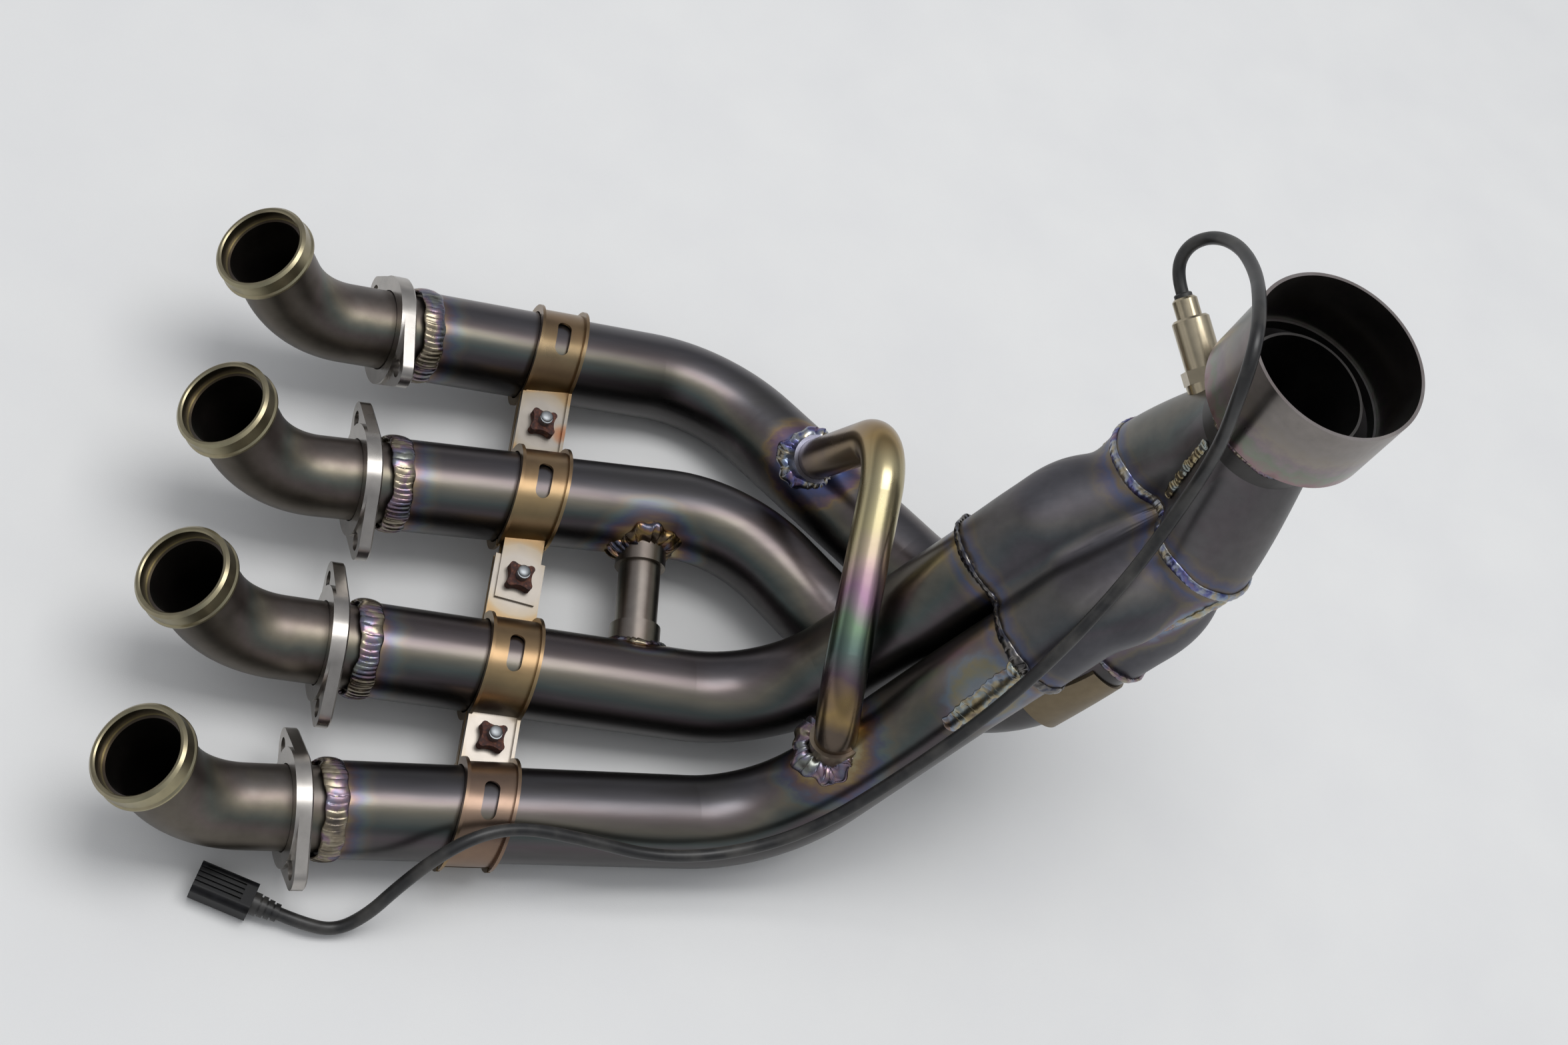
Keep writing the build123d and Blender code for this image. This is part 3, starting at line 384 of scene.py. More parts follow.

# %% [markdown]
# ## Pipes, stubs and collars
# The pipes are dark satin, with straw and blue round each weld. The stubs next to the engine get
# hotter and are bronzed, and the collars are brassy. Exhaust gas has left soot in the mouths, and
# the mouths are darkened further inside with painted shade. One material could serve for all the
# pipes, but each has its own welds, so each gets its own tints.

# %% Dress the pipes, stubs and collars
# Each saddle's tint: start and reach in millimetres, stops, share.
SADDLE_TINTS = (
    (12, 24, WELD_TINT, 0.9), (12, 16, WELD_TINT, 0.7), (12, 22, WELD_TINT, 0.9), (11, 20, BLUE_TINT, 0.9),
)
PIPE_WELD_REACH = 22 * MM
SOCKET_TINT = (COLLECTOR_AT, COLLECTOR_ALONG, 12 * MM, SEAM_TINT, 0.8)
UPPER_PIPES = (1, 2)
PATCHED_PIPE = 1
PATCH_AT = np.array((127.5, -53.0, 135.5)) * MM
PATCH_TINT = (PATCH_AT, 8 * MM, 22 * MM, SIDE_TINT, 0.45)
# Radii inside which the mouths get soot and painted shade.
STUB_SOOT = 18.4 * MM
COLLAR_SOOT = 19.3 * MM
for k, n in enumerate(NUMBERS):
    start, reach, stops, share = SADDLE_TINTS[k]
    rings = [(SADDLES[k], start * MM, reach * MM, stops, share)]
    planes = [(PIPE_WELDS[k], PIPE_AXES[k], PIPE_WELD_REACH, WELD_TINT, 0.6)]
    if n in UPPER_PIPES:
        planes.append(SOCKET_TINT)
    if n == PATCHED_PIPE:
        rings.append(PATCH_TINT)
    name = f"satin_titanium_pipe_{n}"
    pipe = satin_metal(name, "#373636", "#585656", 0.29, rings, planes, sheen=0.55, grain=PIPE_AXES[k])
    dress(pipe, f"primary_pipe_{n}")
    soot = (MOUTHS[k], MOUTH_AXIS, STUB_SOOT)
    stub = satin_metal(f"bronzed_titanium_stub_{n}", "#48433d", "#746d63", 0.38, sheen=0.5, soot=soot)
    dress(stub, f"inlet_stub_{n}")
    soot = (MOUTHS[k], MOUTH_AXIS, COLLAR_SOOT)
    collar = satin_metal(f"brassy_titanium_collar_{n}", "#837c66", "#b3a986", 0.3, sheen=0.3, soot=soot)
    dress(collar, f"inlet_collar_{n}")
print("materials", len(bpy.data.materials))

# %% [markdown]
# ## Balance tubes
# Two thin tubes join pairs of pipes. The bent one has been heated unevenly and shows the whole
# order of film colours from end to end. A ring round a point can't give that, so its bands follow
# the tube's run across the header, shaken by a noise so that no band is straight.

# %% Dress the balance tubes
BAND_WAVE_MM = 24
BAND_SHAKE = 30 * MM
RAINBOW = (
    (0.0, "#5a4d42", 0.9), (0.05, "#9a7f4c", 0.85), (0.11, "#5e4a58", 0.85), (0.18, "#4c6660", 0.85),
    (0.25, "#6d8a6e", 0.85), (0.33, "#a07a96", 0.85), (0.4, "#c4a9a0", 0.8), (0.47, "#c9bd8f", 0.8),
    (0.62, "#b9ad85", 0.8), (0.74, "#a08450", 0.85), (0.87, "#7a6350", 0.85), (1.0, "#5a5560", 0.85),
)


def banded_metal(name, low, high):
    """Tube whose heat colours run in bands from low to high along Y, as the film's thickness changes."""
    material = satin_metal(name, "#7d7a76", "#a19d96", 0.24)
    tree = material.node_tree
    place = add(tree, "ShaderNodeTexCoord").outputs["Object"]
    run = add(tree, "ShaderNodeSeparateXYZ", None, {0: place}).outputs["Y"]
    inputs = {"Vector": place, "Scale": 1 / (BAND_WAVE_MM * MM), "Detail": 2.0}
    waves = add(tree, "ShaderNodeTexNoise", None, inputs).outputs["Fac"]
    inputs = {0: waves, 1: BAND_SHAKE, 2: run}
    shaken = add(tree, "ShaderNodeMath", {"operation": "MULTIPLY_ADD"}, inputs).outputs[0]
    limits = {"Value": shaken, "From Min": low + BAND_SHAKE / 2, "From Max": high + BAND_SHAKE / 2}
    tint_again(material, add(tree, "ShaderNodeMapRange", None, limits).outputs["Result"], RAINBOW)
    return material


inner = satin_metal("satin_titanium_balance_tube", "#5d5850", "#8d857a", 0.3, sheen=0.5)
dress(inner, "balance_tube_inner", "balance_ring_2", "balance_ring_3")
blued = satin_metal("blued_titanium_saddle", "#5a6484", "#8e8f9c", 0.28, sheen=0.4, mottle_mm=3.0)
dress(blued, "balance_ring_4")
burnt = satin_metal("burnt_titanium_saddle", "#6d6258", "#a0927e", 0.3, sheen=0.5, mottle_mm=3.0)
dress(burnt, "balance_ring_1")
low_end, high_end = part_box("balance_tube_outer")
dress(banded_metal("rainbow_titanium_balance_tube", low_end[1], high_end[1]), "balance_tube_outer")
print("materials", len(bpy.data.materials))

# %% [markdown]
# ## Collector and outlet
# The pressed shells are matt and slate grey, with narrow blue and straw bands along their seams. The
# neck is black inside with soot and painted shade. The sleeve slips over it and is paler, with soft
# mauve and green bands at its foot, and is darkened inside with the same soot and painted shade.
# Bands along a straight seam are distances from a plane.

# %% Dress the collector and the outlet
SEAM_REACH = 13 * MM
SIDE_SEAM_AT = COLLECTOR_AT - COLLECTOR_DOWN * 3 * MM
SEAM_PLANE = (SEAM_AT, SEAM_ALONG, SEAM_REACH, SEAM_TINT, 0.9)
SIDE_PLANE = (SIDE_SEAM_AT, COLLECTOR_DOWN, SEAM_REACH, SIDE_TINT, 0.9)
SHELL_PLANES = [SEAM_PLANE, SIDE_PLANE, SOCKET_TINT]
FOOT_BACK = 46 * MM
SLEEVE_PLANES = [(OUTLET_AT - OUTLET_AXIS * FOOT_BACK, OUTLET_AXIS, 34 * MM, SLEEVE_TINT, 0.9)]
# Radii inside which the neck and the sleeve get soot and painted shade.
NECK_SOOT = 26.7 * MM
SLEEVE_SOOT = 37.9 * MM
shell = satin_metal("matt_titanium_collector", "#454549", "#666569", 0.42, planes=SHELL_PLANES, sheen=0.25)
dress(shell, "collector_upper_shell", "collector_lower_shell", "collector_centre_plug")
merge = satin_metal("matt_titanium_two_into_one", "#4d4d4f", "#72706f", 0.38, planes=[SEAM_PLANE], sheen=0.45)
dress(merge, "two_into_one", "outlet_flare")
soot = (OUTLET_AT, OUTLET_AXIS, NECK_SOOT)
dress(satin_metal("sooty_shaded_titanium_neck", "#3f3e3f", "#5c5a58", 0.42, soot=soot), "outlet_neck")
soot = (OUTLET_AT, OUTLET_AXIS, SLEEVE_SOOT)
sleeve = satin_metal(
    "pale_titanium_sleeve", "#6c6865", "#98918c", 0.3, planes=SLEEVE_PLANES, sheen=0.55, soot=soot,
)
dress(sleeve, "outlet_sleeve")
dress(satin_metal("tan_titanium_pad", "#615746", "#8b7d66", 0.42, sheen=0.2), "lower_pad")
print("materials", len(bpy.data.materials))

# %% [markdown]
# ## Flanges, clamp and fasteners
# The flanges are polished steel that has dulled. The clamp is pressed steel sheet, stained straw and
# brown where it touches the hot pipes and still pale at the bolts, between them. Water has washed a
# little rust from a nut down the sheet. The bolts are dull grey zinc, the sensor brassy nickel. They
# could each have their own shader, but the satin metal with other colours gives them all.

# %% Dress the steel
PALE_SHEET = ((0.0, "#948e87", 0.95), (0.6, "#908677", 0.9), (1.0, "#8a7654", 0.0))
MAUVE_STAIN = ((0.0, "#7a675f", 0.9), (0.7, "#7d695f", 0.8), (1.0, "#8f7a58", 0.0))
RUST_STREAK = ((0.0, "#9a5a2c", 0.9), (0.6, "#9a6234", 0.6), (1.0, "#a8835a", 0.0))
PALE_RINGS = [(bolt, 12 * MM, 9 * MM, PALE_SHEET, 1.0) for bolt in BOLTS]
STREAK_AT = BOLTS[2] + np.array((11.0, -2.0, 2.0)) * MM
STREAK_RING = (STREAK_AT, 0.0, 6 * MM, RUST_STREAK, 0.9)
STAIN_AT = np.array((-67.4, -110.5, 26.0)) * MM
STAIN_RING = (STAIN_AT, 16 * MM, 18 * MM, MAUVE_STAIN, 0.9)
for half, stains in (("upper", [*PALE_RINGS, STREAK_RING]), ("lower", [STAIN_RING, *PALE_RINGS])):
    name = f"straw_stained_steel_strap_{half}"
    straw = satin_metal(name, "#69513a", "#a88c5c", 0.3, stains, sheen=0.4, mottle_mm=9.0)
    dress(straw, f"strap_rear_{half}")
brown = satin_metal("dark_stained_steel_strap", "#5c4c38", "#85704e", 0.38)
dress(brown, "strap_front_upper", "strap_front_lower")
polished = satin_metal("dulled_polished_steel_flange", "#8d8985", "#c2bdb7", 0.27)
dress(polished, *[f"flange_{n}" for n in NUMBERS])
bolt_zinc = satin_metal("grey_zinc_bolt", "#74787b", "#a0a3a6", 0.42, mottle_mm=1.5)
dress(bolt_zinc, "strap_bolts")
nickel = satin_metal("brassy_nickel_sensor", "#93876f", "#c8bda6", 0.24)
dress(nickel, "sensor_bung", "sensor_hexagon", "sensor_body", "sensor_cap")
print("materials", len(bpy.data.materials))

# %% [markdown]
# ## Rust, rubber and plastic
# The nuts have rusted to a crumbly red brown, the cable's rubber is black with grey dust, and its
# plug is moulded black nylon with hardly a shine. All are matt and uneven. A picture of rust would
# need unwrapping and would repeat, so a noise colours each, and a finer one makes it rough.

# %% Rust, rubber and plastic
# The grain of rubber and nylon is finer. This is as coarse as it needs to be to show.
GRAIN_MM = 0.6
ROUGH_SWING = 0.12
RUST = ((0.3, "#241614", 1), (0.48, "#43231d", 1), (0.62, "#5c3628", 1), (0.76, "#7d5440", 1))
RUBBER = ((0.45, "#171718", 1), (0.75, "#403e3b", 1))
NYLON = ((0.4, "#09090a", 1), (0.75, "#1b1b1e", 1))
NYLON_SHINE = 0.15


def rough_skin(name, stops, size, rough, depth, metallic=0.0):
    """Matt skin: one noise of a given size moves colour and roughness, a finer one raises bumps."""
    material, tree, shader = new_material(name)
    place = add(tree, "ShaderNodeTexCoord").outputs["Object"]
    inputs = {"Vector": place, "Scale": 1 / size, "Detail": 6.0}
    patches = add(tree, "ShaderNodeTexNoise", None, inputs).outputs["Fac"]
    inputs = {"Vector": place, "Scale": 1 / (GRAIN_MM * MM), "Detail": 3.0}
    grain = add(tree, "ShaderNodeTexNoise", None, inputs).outputs["Fac"]
    colour = set_ramp(add(tree, "ShaderNodeValToRGB", None, {"Fac": patches}), stops)
    limits = {"Value": patches, "To Min": rough - ROUGH_SWING, "To Max": rough + ROUGH_SWING}
    roughness = add(tree, "ShaderNodeMapRange", None, limits).outputs["Result"]
    bump = add(tree, "ShaderNodeBump", None, {"Strength": 0.5, "Distance": depth, "Height": grain})
    tree.links.new(colour.outputs["Color"], shader.inputs["Base Color"])
    tree.links.new(roughness, shader.inputs["Roughness"])
    tree.links.new(bump.outputs["Normal"], shader.inputs["Normal"])
    shader.inputs["Metallic"].default_value = metallic
    return material


rust = rough_skin("rusted_iron_nut", RUST, size=1.6 * MM, rough=0.72, depth=0.25 * MM, metallic=0.2)
dress(rust, "strap_nuts")
sheath = rough_skin("dusty_rubber_sheath", RUBBER, size=14 * MM, rough=0.4, depth=0.03 * MM)
dress(sheath, "cable_grommet", "plug_boot")
nylon = rough_skin("black_nylon_plug", NYLON, size=7 * MM, rough=0.36, depth=0.03 * MM)
nylon.node_tree.nodes["Principled BSDF"].inputs["Specular IOR Level"].default_value = NYLON_SHINE
dress(nylon, "plug_body")
print("materials", len(bpy.data.materials))

# %% [markdown]
# ## Sensor cable
# The cable leaves the sensor's cap, loops past the sleeve and lies over the collector and the first
# pipe down to its plug. Straight lengths with rounded corners would look like pipe, so its route's
# points are the control points of one NURBS curve, which is smooth everywhere, with a round bevel as
# its thickness.

# %% Sensor cable
CABLE_DIAMETER = 5.8 * MM
CABLE_ROUTE = np.array((
    (157.45, 89.59, 262.74), (152.72, 97.84, 265.84), (153.3, 105.4, 275.3), (158.6, 103.0, 288.7),
    (162.5, 88.4, 303.9), (160.7, 63.4, 319.5), (152.4, 33.8, 336.1), (148.5, 14.2, 339.7),
    (148.4, 3.0, 332.6), (150.5, -2.4, 320.1), (159.6, -1.7, 291.7), (169.1, 2.0, 251.8),
    (161.4, -20.5, 209.6), (143.2, -47.8, 181.9), (130.5, -61.7, 137.5), (105.8, -80.3, 93.1),
    (79.3, -97.7, 57.5), (48.2, -109.4, 40.4), (13.5, -118.3, 38.7), (-20.9, -120.2, 46.3),
    (-51.0, -123.7, 53.2), (-70.0, -132.1, 55.0), (-85.0, -142.7, 46.0), (-96.5, -152.7, 29.5),
    (-105.0, -161.2, 13.0), (-116.2, -167.7, 4.2), (-130.4, -168.7, 7.0), (-142.0, -166.2, 7.0),
)) * MM

curve = bpy.data.curves.new("sensor_cable_sheath", "CURVE")
curve.dimensions = "3D"
spline = curve.splines.new("NURBS")
spline.points.add(len(CABLE_ROUTE) - 1)
spline.points.foreach_set("co", np.column_stack((CABLE_ROUTE, np.ones(len(CABLE_ROUTE)))).ravel())
spline.order_u = 3
spline.use_endpoint_u = True
spline.resolution_u = 8
curve.bevel_depth = CABLE_DIAMETER / 2
curve.bevel_resolution = 5
curve.use_fill_caps = True
curve.materials.append(sheath)
cable = bpy.data.objects.new("sensor_cable_sheath", curve)
bpy.context.scene.collection.objects.link(cable)
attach(cable, "header")
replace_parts(cable, "sensor_cable")
print("cable points", len(CABLE_ROUTE))

# %% [markdown]
# ## Sections of the frame
# A weld follows the edge where two shells meet. The edge of a pressed shell has no simple formula,
# so it is cut from the solid itself: each mesh edge that crosses a plane gives a point, and the
# outermost point in each direction is the outline.

# %% Outline of a section
OUTLINE_SLOTS = 180
OUTER_LAYER = 0.4 * MM


def unit(vector):
    """A vector of length one in the same direction."""
    return np.asarray(vector, float) / np.linalg.norm(vector)


def frame_of(axis):
    """Two unit vectors square to an axis and to each other."""
    axis = unit(axis)
    side = unit(np.cross(axis, (0.0, 0.0, 1.0) if abs(axis[2]) < 0.9 else (1.0, 0.0, 0.0)))
    return side, np.cross(axis, side)


def vertices_of(name):
    """Vertices of a CAD node as an array."""
    mesh = NODES[name].data
    places = np.empty(3 * len(mesh.vertices))
    mesh.vertices.foreach_get("co", places)
    return places.reshape(-1, 3)


def section(name, origin, right, up, first, last, count):
    """Outline of a node in the plane of right and up: reach and direction from one angle to another.

    Each mesh edge is cut where its height over the plane passes zero, in proportion to the heights
    of its two ends. A cut counts when it lies in the outer layer of its slot of angles.
    """
    mesh = NODES[name].data
    places = vertices_of(name)
    edges = np.empty(2 * len(mesh.edges), np.int32)
    mesh.edges.foreach_get("vertices", edges)
    edges = edges.reshape(-1, 2)
    height = ((places - origin) @ np.cross(right, up))[edges]
    crossing = (height[:, 0] < 0) != (height[:, 1] < 0)
    start, end = places[edges[crossing, 0]], places[edges[crossing, 1]]
    share = height[crossing, 0] / (height[crossing, 0] - height[crossing, 1])
    offset = start + share[:, None] * (end - start) - origin
    angle = np.arctan2(offset @ up, offset @ right)
    radius = np.hypot(offset @ up, offset @ right)
    slot = ((angle + np.pi) / (2 * np.pi) * OUTLINE_SLOTS).astype(int) % OUTLINE_SLOTS
    outer = np.zeros(OUTLINE_SLOTS)
    np.maximum.at(outer, slot, radius)
    outside = radius > outer[slot] - OUTER_LAYER
    turn = np.linspace(first, last, count)
    reach = np.interp(turn, angle[outside], radius[outside], period=2 * np.pi)
    return reach, np.cos(turn)[:, None] * right + np.sin(turn)[:, None] * up


print("vertices of the upper shell", len(vertices_of("collector_upper_shell")))

# %% [markdown]
# ## Pieces from grids
# Skins, beads and bolt ends are all grids of points. They could be modelled by hand, but a formula is
# easier to change. Four neighbours make a face, and what rides with the header is told to the frame.


# %% Pieces from grids
def grid_piece(name, points, closed, material):
    """Piece from a grid whose rows are loops; a grid that isn't closed along itself gets end caps.

    The sum of the faces' corner products is the volume; where it is negative, all faces are turned.
    """
    rows, columns = points.shape[:2]
    row = np.arange(rows if closed else rows - 1)[:, None]
    column = np.arange(columns)[None, :]
    corners = [(row, column), (row, column + 1), (row + 1, column + 1), (row + 1, column)]
    faces = np.stack([(r % rows) * columns + (c % columns) for r, c in corners], axis=-1).reshape(-1, 4)
    a, b, c, d = points.reshape(-1, 3)[faces.T]
    volume = np.sum(a * np.cross(b, c)) + np.sum(a * np.cross(c, d))
    faces = (faces if volume > 0 else faces[:, ::-1]).tolist()
    if not closed:
        caps = [np.arange(columns)[::-1], np.arange(columns) + (rows - 1) * columns]
        faces += [(cap if volume > 0 else cap[::-1]).tolist() for cap in caps]
    mesh = bpy.data.meshes.new(name)
    mesh.from_pydata(points.reshape(-1, 3).tolist(), [], faces)
    mesh.shade_smooth()
    mesh.materials.append(material)
    piece = bpy.data.objects.new(name, mesh)
    bpy.context.scene.collection.objects.link(piece)
    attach(piece, "header")
    return piece


# %% [markdown]
# ## Collector skins
# The collector is two pressed halves. In the solid, straight sockets meet the merging part with a
# crease; a press rounds such a crease, and hammering leaves shallow dents. A bevel would round the
# crease evenly, which a press doesn't. So each skin is a grid: sections of the solid along its curved
# middle line, evened out along that line, with the dents added as a product of waves, and the
# sheet's thickness as a second grid inside the first.

# %% Skins
SHEET = 1.2 * MM
SKIN_ROWS = 56
SKIN_COLUMNS = 150
CREASE_ROWS = 2.6
DENT_DEPTH = 0.3 * MM
# Shares of the middle line at which the skins start and end.
UPPER_START, LOWER_START, SKIN_END = 0.012, 0.215, 0.99
MIDDLE_CORNER = COLLECTOR_AT + COLLECTOR_ALONG * 43 * MM


def even_out(rows, spread):
    """Rows averaged with their neighbours by a bell curve of a given spread; the ends carry straight on."""
    reach = round(3 * spread)
    weights = np.exp(-0.5 * (np.arange(-reach, reach + 1) / spread) ** 2)
    padded = np.pad(rows, ((reach, reach), (0, 0)), mode="reflect", reflect_type="odd")
    return sum(weight * padded[k:k + len(rows)] for k, weight in enumerate(weights / weights.sum()))


def middle_line(share):
    """Point and upward direction at a share of the way from the mouth to the seam.

    The point is on a Bezier curve of three points: mouth, corner and seam. The direction goes over
    from one end's to the other's in proportion.
    """
    point = (1 - share) ** 2 * COLLECTOR_AT + 2 * share * (1 - share) * MIDDLE_CORNER + share**2 * SEAM_AT
    return point, unit(-(1 - share) * COLLECTOR_DOWN - share * SEAM_DOWN)


def skin(name, node, start, first, last):
    """Skin over one shell from a share of the middle line to the seam, between two angles.

    Each point lies at the evened reach from the middle line, plus dents: a product of two slanting
    sine waves, which fades out at both ends.
    """
    shares = np.linspace(start, SKIN_END, SKIN_ROWS)
    stations = [middle_line(share) for share in shares]
    cuts = [section(node, point, COLLECTOR_SIDE, up, first, last, SKIN_COLUMNS) for point, up in stations]
    radius = even_out(np.array([reach for reach, _ in cuts]), CREASE_ROWS)
    turn = np.linspace(first, last, SKIN_COLUMNS)[None, :]
    dents = np.sin(9 * shares[:, None] + 3 * turn) * np.sin(7 * turn - 5 * shares[:, None])
    radius = radius + DENT_DEPTH * dents * np.sin(np.pi * shares[:, None])
    centres = np.array([point for point, _ in stations])[:, None, :]
    away = np.array([direction for _, direction in cuts])
    outer = centres + radius[..., None] * away
    inner = centres + (radius - SHEET)[..., None] * away
    sheet = np.concatenate((outer, inner[:, ::-1]), axis=1)
    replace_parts(grid_piece(name, sheet, False, shell), node)
    return outer


upper_skin = skin("collector_upper_skin", "collector_upper_shell", UPPER_START, 0.0, np.pi)
lower_skin = skin("collector_lower_skin", "collector_lower_shell", LOWER_START, np.pi, 2 * np.pi)
print("skin points", upper_skin.shape, lower_skin.shape)

# %% [markdown]
# ## Weld beads
# A hand-laid weld is a row of overlapping scallops, each a frozen puddle. A bump in the material
# would leave its outline smooth, so it is a mesh: an oval profile carried along the seam. The scallops
# are a wave along it with a sharp front, which lags at the bead's edges so that each one curves
# back. No hand is steady: the bead wanders and swells. Its metal is brighter than the tube, and its
# film changes colour every few scallops.

# %% Bead surface
BEAD_COLUMNS = 20
SWELLS = (3, 5, 8, 13)
SEED_STEP = 0.37
LEAST_SCALLOPS = 4
SCALLOP_DEPTH = 0.42
SCALLOP_LAG = 0.4


def bead(name, path, outward, size_mm, metal, seed, closed=True, lump=0.1):
    """Rippled bead along a path; its size is width, rise and the length of a scallop.

    The section is an ellipse of the bead's width and rise about each point. Its rise is multiplied
    by one minus a part of a wave that grows as a square along each scallop. The wave's phase lags
    with the square of the place across the bead. Slow waves of lump make it swell and wander. An
    open bead tapers at both ends.
    """
    width, rise, pitch = np.array(size_mm) * MM
    steps = np.linalg.norm(np.diff(path, axis=0, append=path[:1]), axis=1)
    run = np.concatenate(([0.0], np.cumsum(steps[:-1])))
    length = run[-1] + (steps[-1] if closed else 0.0)
    around = (np.roll(path, -1, axis=0) - np.roll(path, 1, axis=0)) if closed else np.gradient(path, axis=0)
    ahead = around / np.linalg.norm(around, axis=1, keepdims=True)
    outward = outward - ahead * np.sum(outward * ahead, axis=1, keepdims=True)
    outward = outward / np.linalg.norm(outward, axis=1, keepdims=True)
    across = np.cross(ahead, outward)
    share = (run / length)[:, None]
    waves = [np.sin(2 * np.pi * (k * share + seed * k * SEED_STEP)) for k in SWELLS]
    swell = 1 + lump * (waves[0] + 0.8 * waves[1] + 0.6 * waves[2])
    wander = lump * width * 0.5 * (waves[1] + waves[3])
    turn = np.linspace(0, 2 * np.pi, BEAD_COLUMNS, endpoint=False)[None, :]
    count = max(LEAST_SCALLOPS, round(length / pitch))
    phase = share * count + 0.5 * waves[0] + 0.3 * waves[1] + SCALLOP_LAG * np.cos(turn) ** 2
    scallop = 1 - SCALLOP_DEPTH * (phase % 1.0) ** 2
    taper = 1.0 if closed else np.sqrt(np.clip(4 * np.minimum(share, 1 - share) * length / width, 0.01, 1.0))
    spread = (wander + width / 2 * np.cos(turn) * swell * taper)[..., None] * across[:, None, :]
    height = (rise * np.sin(turn) * swell * scallop * taper)[..., None] * outward[:, None, :]
    return grid_piece(name, path[:, None, :] + spread + height, closed, metal)


def beads_so_far():
    """Number of beads in the scene."""
    return sum("_weld" in piece.name for piece in bpy.data.objects)


print("columns of a bead", BEAD_COLUMNS)

# %% Weld metals
FILM_PATCH_MM = 11
SILVER_WELD = (
    (0.0, "#4c4440", 0.75), (0.25, "#857860", 0.6), (0.4, "#a89d82", 0.5), (0.52, "#8a6c80", 0.65),
    (0.68, "#5c6080", 0.65), (0.84, "#74807c", 0.5), (1.0, "#3f3a39", 0.75),
)
BLUE_WELD = (
    (0.0, "#39458a", 0.75), (0.22, "#8fa0b6", 0.7), (0.38, "#b8a880", 0.7), (0.5, "#aab0b8", 0.6),
    (0.64, "#53589a", 0.75), (0.8, "#85657c", 0.7), (1.0, "#6d5c48", 0.7),
)
BURNT_WELD = (
    (0.0, "#2a2725", 0.85), (0.32, "#5a4a3a", 0.75), (0.46, "#94783f", 0.75), (0.58, "#7d5a48", 0.7),
    (0.7, "#46506a", 0.75), (0.84, "#332c2a", 0.85), (1.0, "#7a6a52", 0.7),
)
DARK_WELD = (
    (0.0, "#29282a", 0.85), (0.35, "#4c4a4a", 0.75), (0.52, "#827e7a", 0.6), (0.64, "#454a5c", 0.7),
    (0.8, "#332f2f", 0.85), (1.0, "#5f5648", 0.7),
)
PALE_WELD = (
    (0.0, "#6d5c48", 0.75), (0.28, "#b3a276", 0.75), (0.42, "#a5b4b6", 0.7), (0.55, "#b5a47a", 0.7),
    (0.7, "#8094ae", 0.7), (0.84, "#96785c", 0.75), (1.0, "#6f6488", 0.7),
)


def weld_metal(name, dark, light, stops):
    """Bare weld metal: satin metal under patches of film, each a few scallops long."""
    material = satin_metal(name, dark, light, 0.24, mottle_mm=2.0)
    tree = material.node_tree
    place = add(tree, "ShaderNodeTexCoord").outputs["Object"]
    inputs = {"Vector": place, "Scale": 1 / (FILM_PATCH_MM * MM), "Detail": 3.0}
    patches = add(tree, "ShaderNodeTexNoise", None, inputs).outputs["Fac"]
    limits = {"Value": patches, "From Min": 0.25, "From Max": 0.75}
    tint_again(material, add(tree, "ShaderNodeMapRange", None, limits).outputs["Result"], stops)
    return material


silver_weld = weld_metal("rippled_silver_weld", "#645e58", "#968f86", SILVER_WELD)
blue_weld = weld_metal("rippled_blue_weld", "#6a6c78", "#9799a2", BLUE_WELD)
burnt_weld = weld_metal("rippled_burnt_weld", "#5a524a", "#857a6c", BURNT_WELD)
dark_weld = weld_metal("rippled_dark_weld", "#4c4a49", "#757270", DARK_WELD)
pale_weld = weld_metal("rippled_straw_and_blue_weld", "#7d7a74", "#a5a199", PALE_WELD)
print("materials", len(bpy.data.materials))

# %% [markdown]
# ## Beads round the tubes
# Each pipe is welded to its stub by a wide silver bead, each collar by a thin one, and the sleeve's
# flare to the neck. A torus would have no scallops, so each is a bead on a circle about the tube's
# axis.

# %% Beads round the tubes
PIPE_RADIUS = 21.35 * MM
STUB_RADIUS = 19.2 * MM
NECK_RADIUS = 27.6 * MM
PIPE_BEAD_IN = 3 * MM
COLLAR_REAR = 5.6 * MM
FLARE_BACK = 52.5 * MM
# Sizes of beads are width, rise and the length of a scallop in millimetres.
PIPE_BEAD = (10.5, 1.4, 2.8)
COLLAR_BEAD = (3, 1.2, 2.4)
SLEEVE_BEAD = (4.5, 1.3, 3)
RING_POINTS = 480
TURNS = np.linspace(0, 2 * np.pi, RING_POINTS, endpoint=False)


def spokes_round(axis, turns=TURNS):
    """Unit vectors round an axis: cosine of each turn times one side, plus sine times the other."""
    side, up = frame_of(axis)
    return np.cos(turns)[:, None] * side + np.sin(turns)[:, None] * up


for k, n in enumerate(NUMBERS):
    spokes = spokes_round(PIPE_AXES[k])
    ring = PIPE_WELDS[k] + PIPE_AXES[k] * PIPE_BEAD_IN + spokes * PIPE_RADIUS
    bead(f"pipe_weld_{n}", ring, spokes, PIPE_BEAD, silver_weld, seed=n, lump=0.06)
    spokes = spokes_round(MOUTH_AXIS)
    ring = MOUTHS[k] - MOUTH_AXIS * COLLAR_REAR + spokes * STUB_RADIUS
    collar_metal = NODES[f"inlet_collar_{n}"].data.materials[0]
    bead(f"collar_weld_{n}", ring, spokes, COLLAR_BEAD, collar_metal, seed=n + 4, lump=0.05)
spokes = spokes_round(OUTLET_AXIS)
ring = OUTLET_AT - OUTLET_AXIS * FLARE_BACK + spokes * NECK_RADIUS
bead("sleeve_weld", ring, spokes, SLEEVE_BEAD, silver_weld, seed=15)
print("beads so far", beads_so_far())

# %% [markdown]
# ## Beads round the saddles
# A balance tube stands on a round pipe, so the foot of its ring rises and falls, and so does its
# weld. The curve has a formula, but the ring's own vertices give it for any tilt: the height of the
# foot at each turn. The beads are lumpy, one is burnt and one is blue.

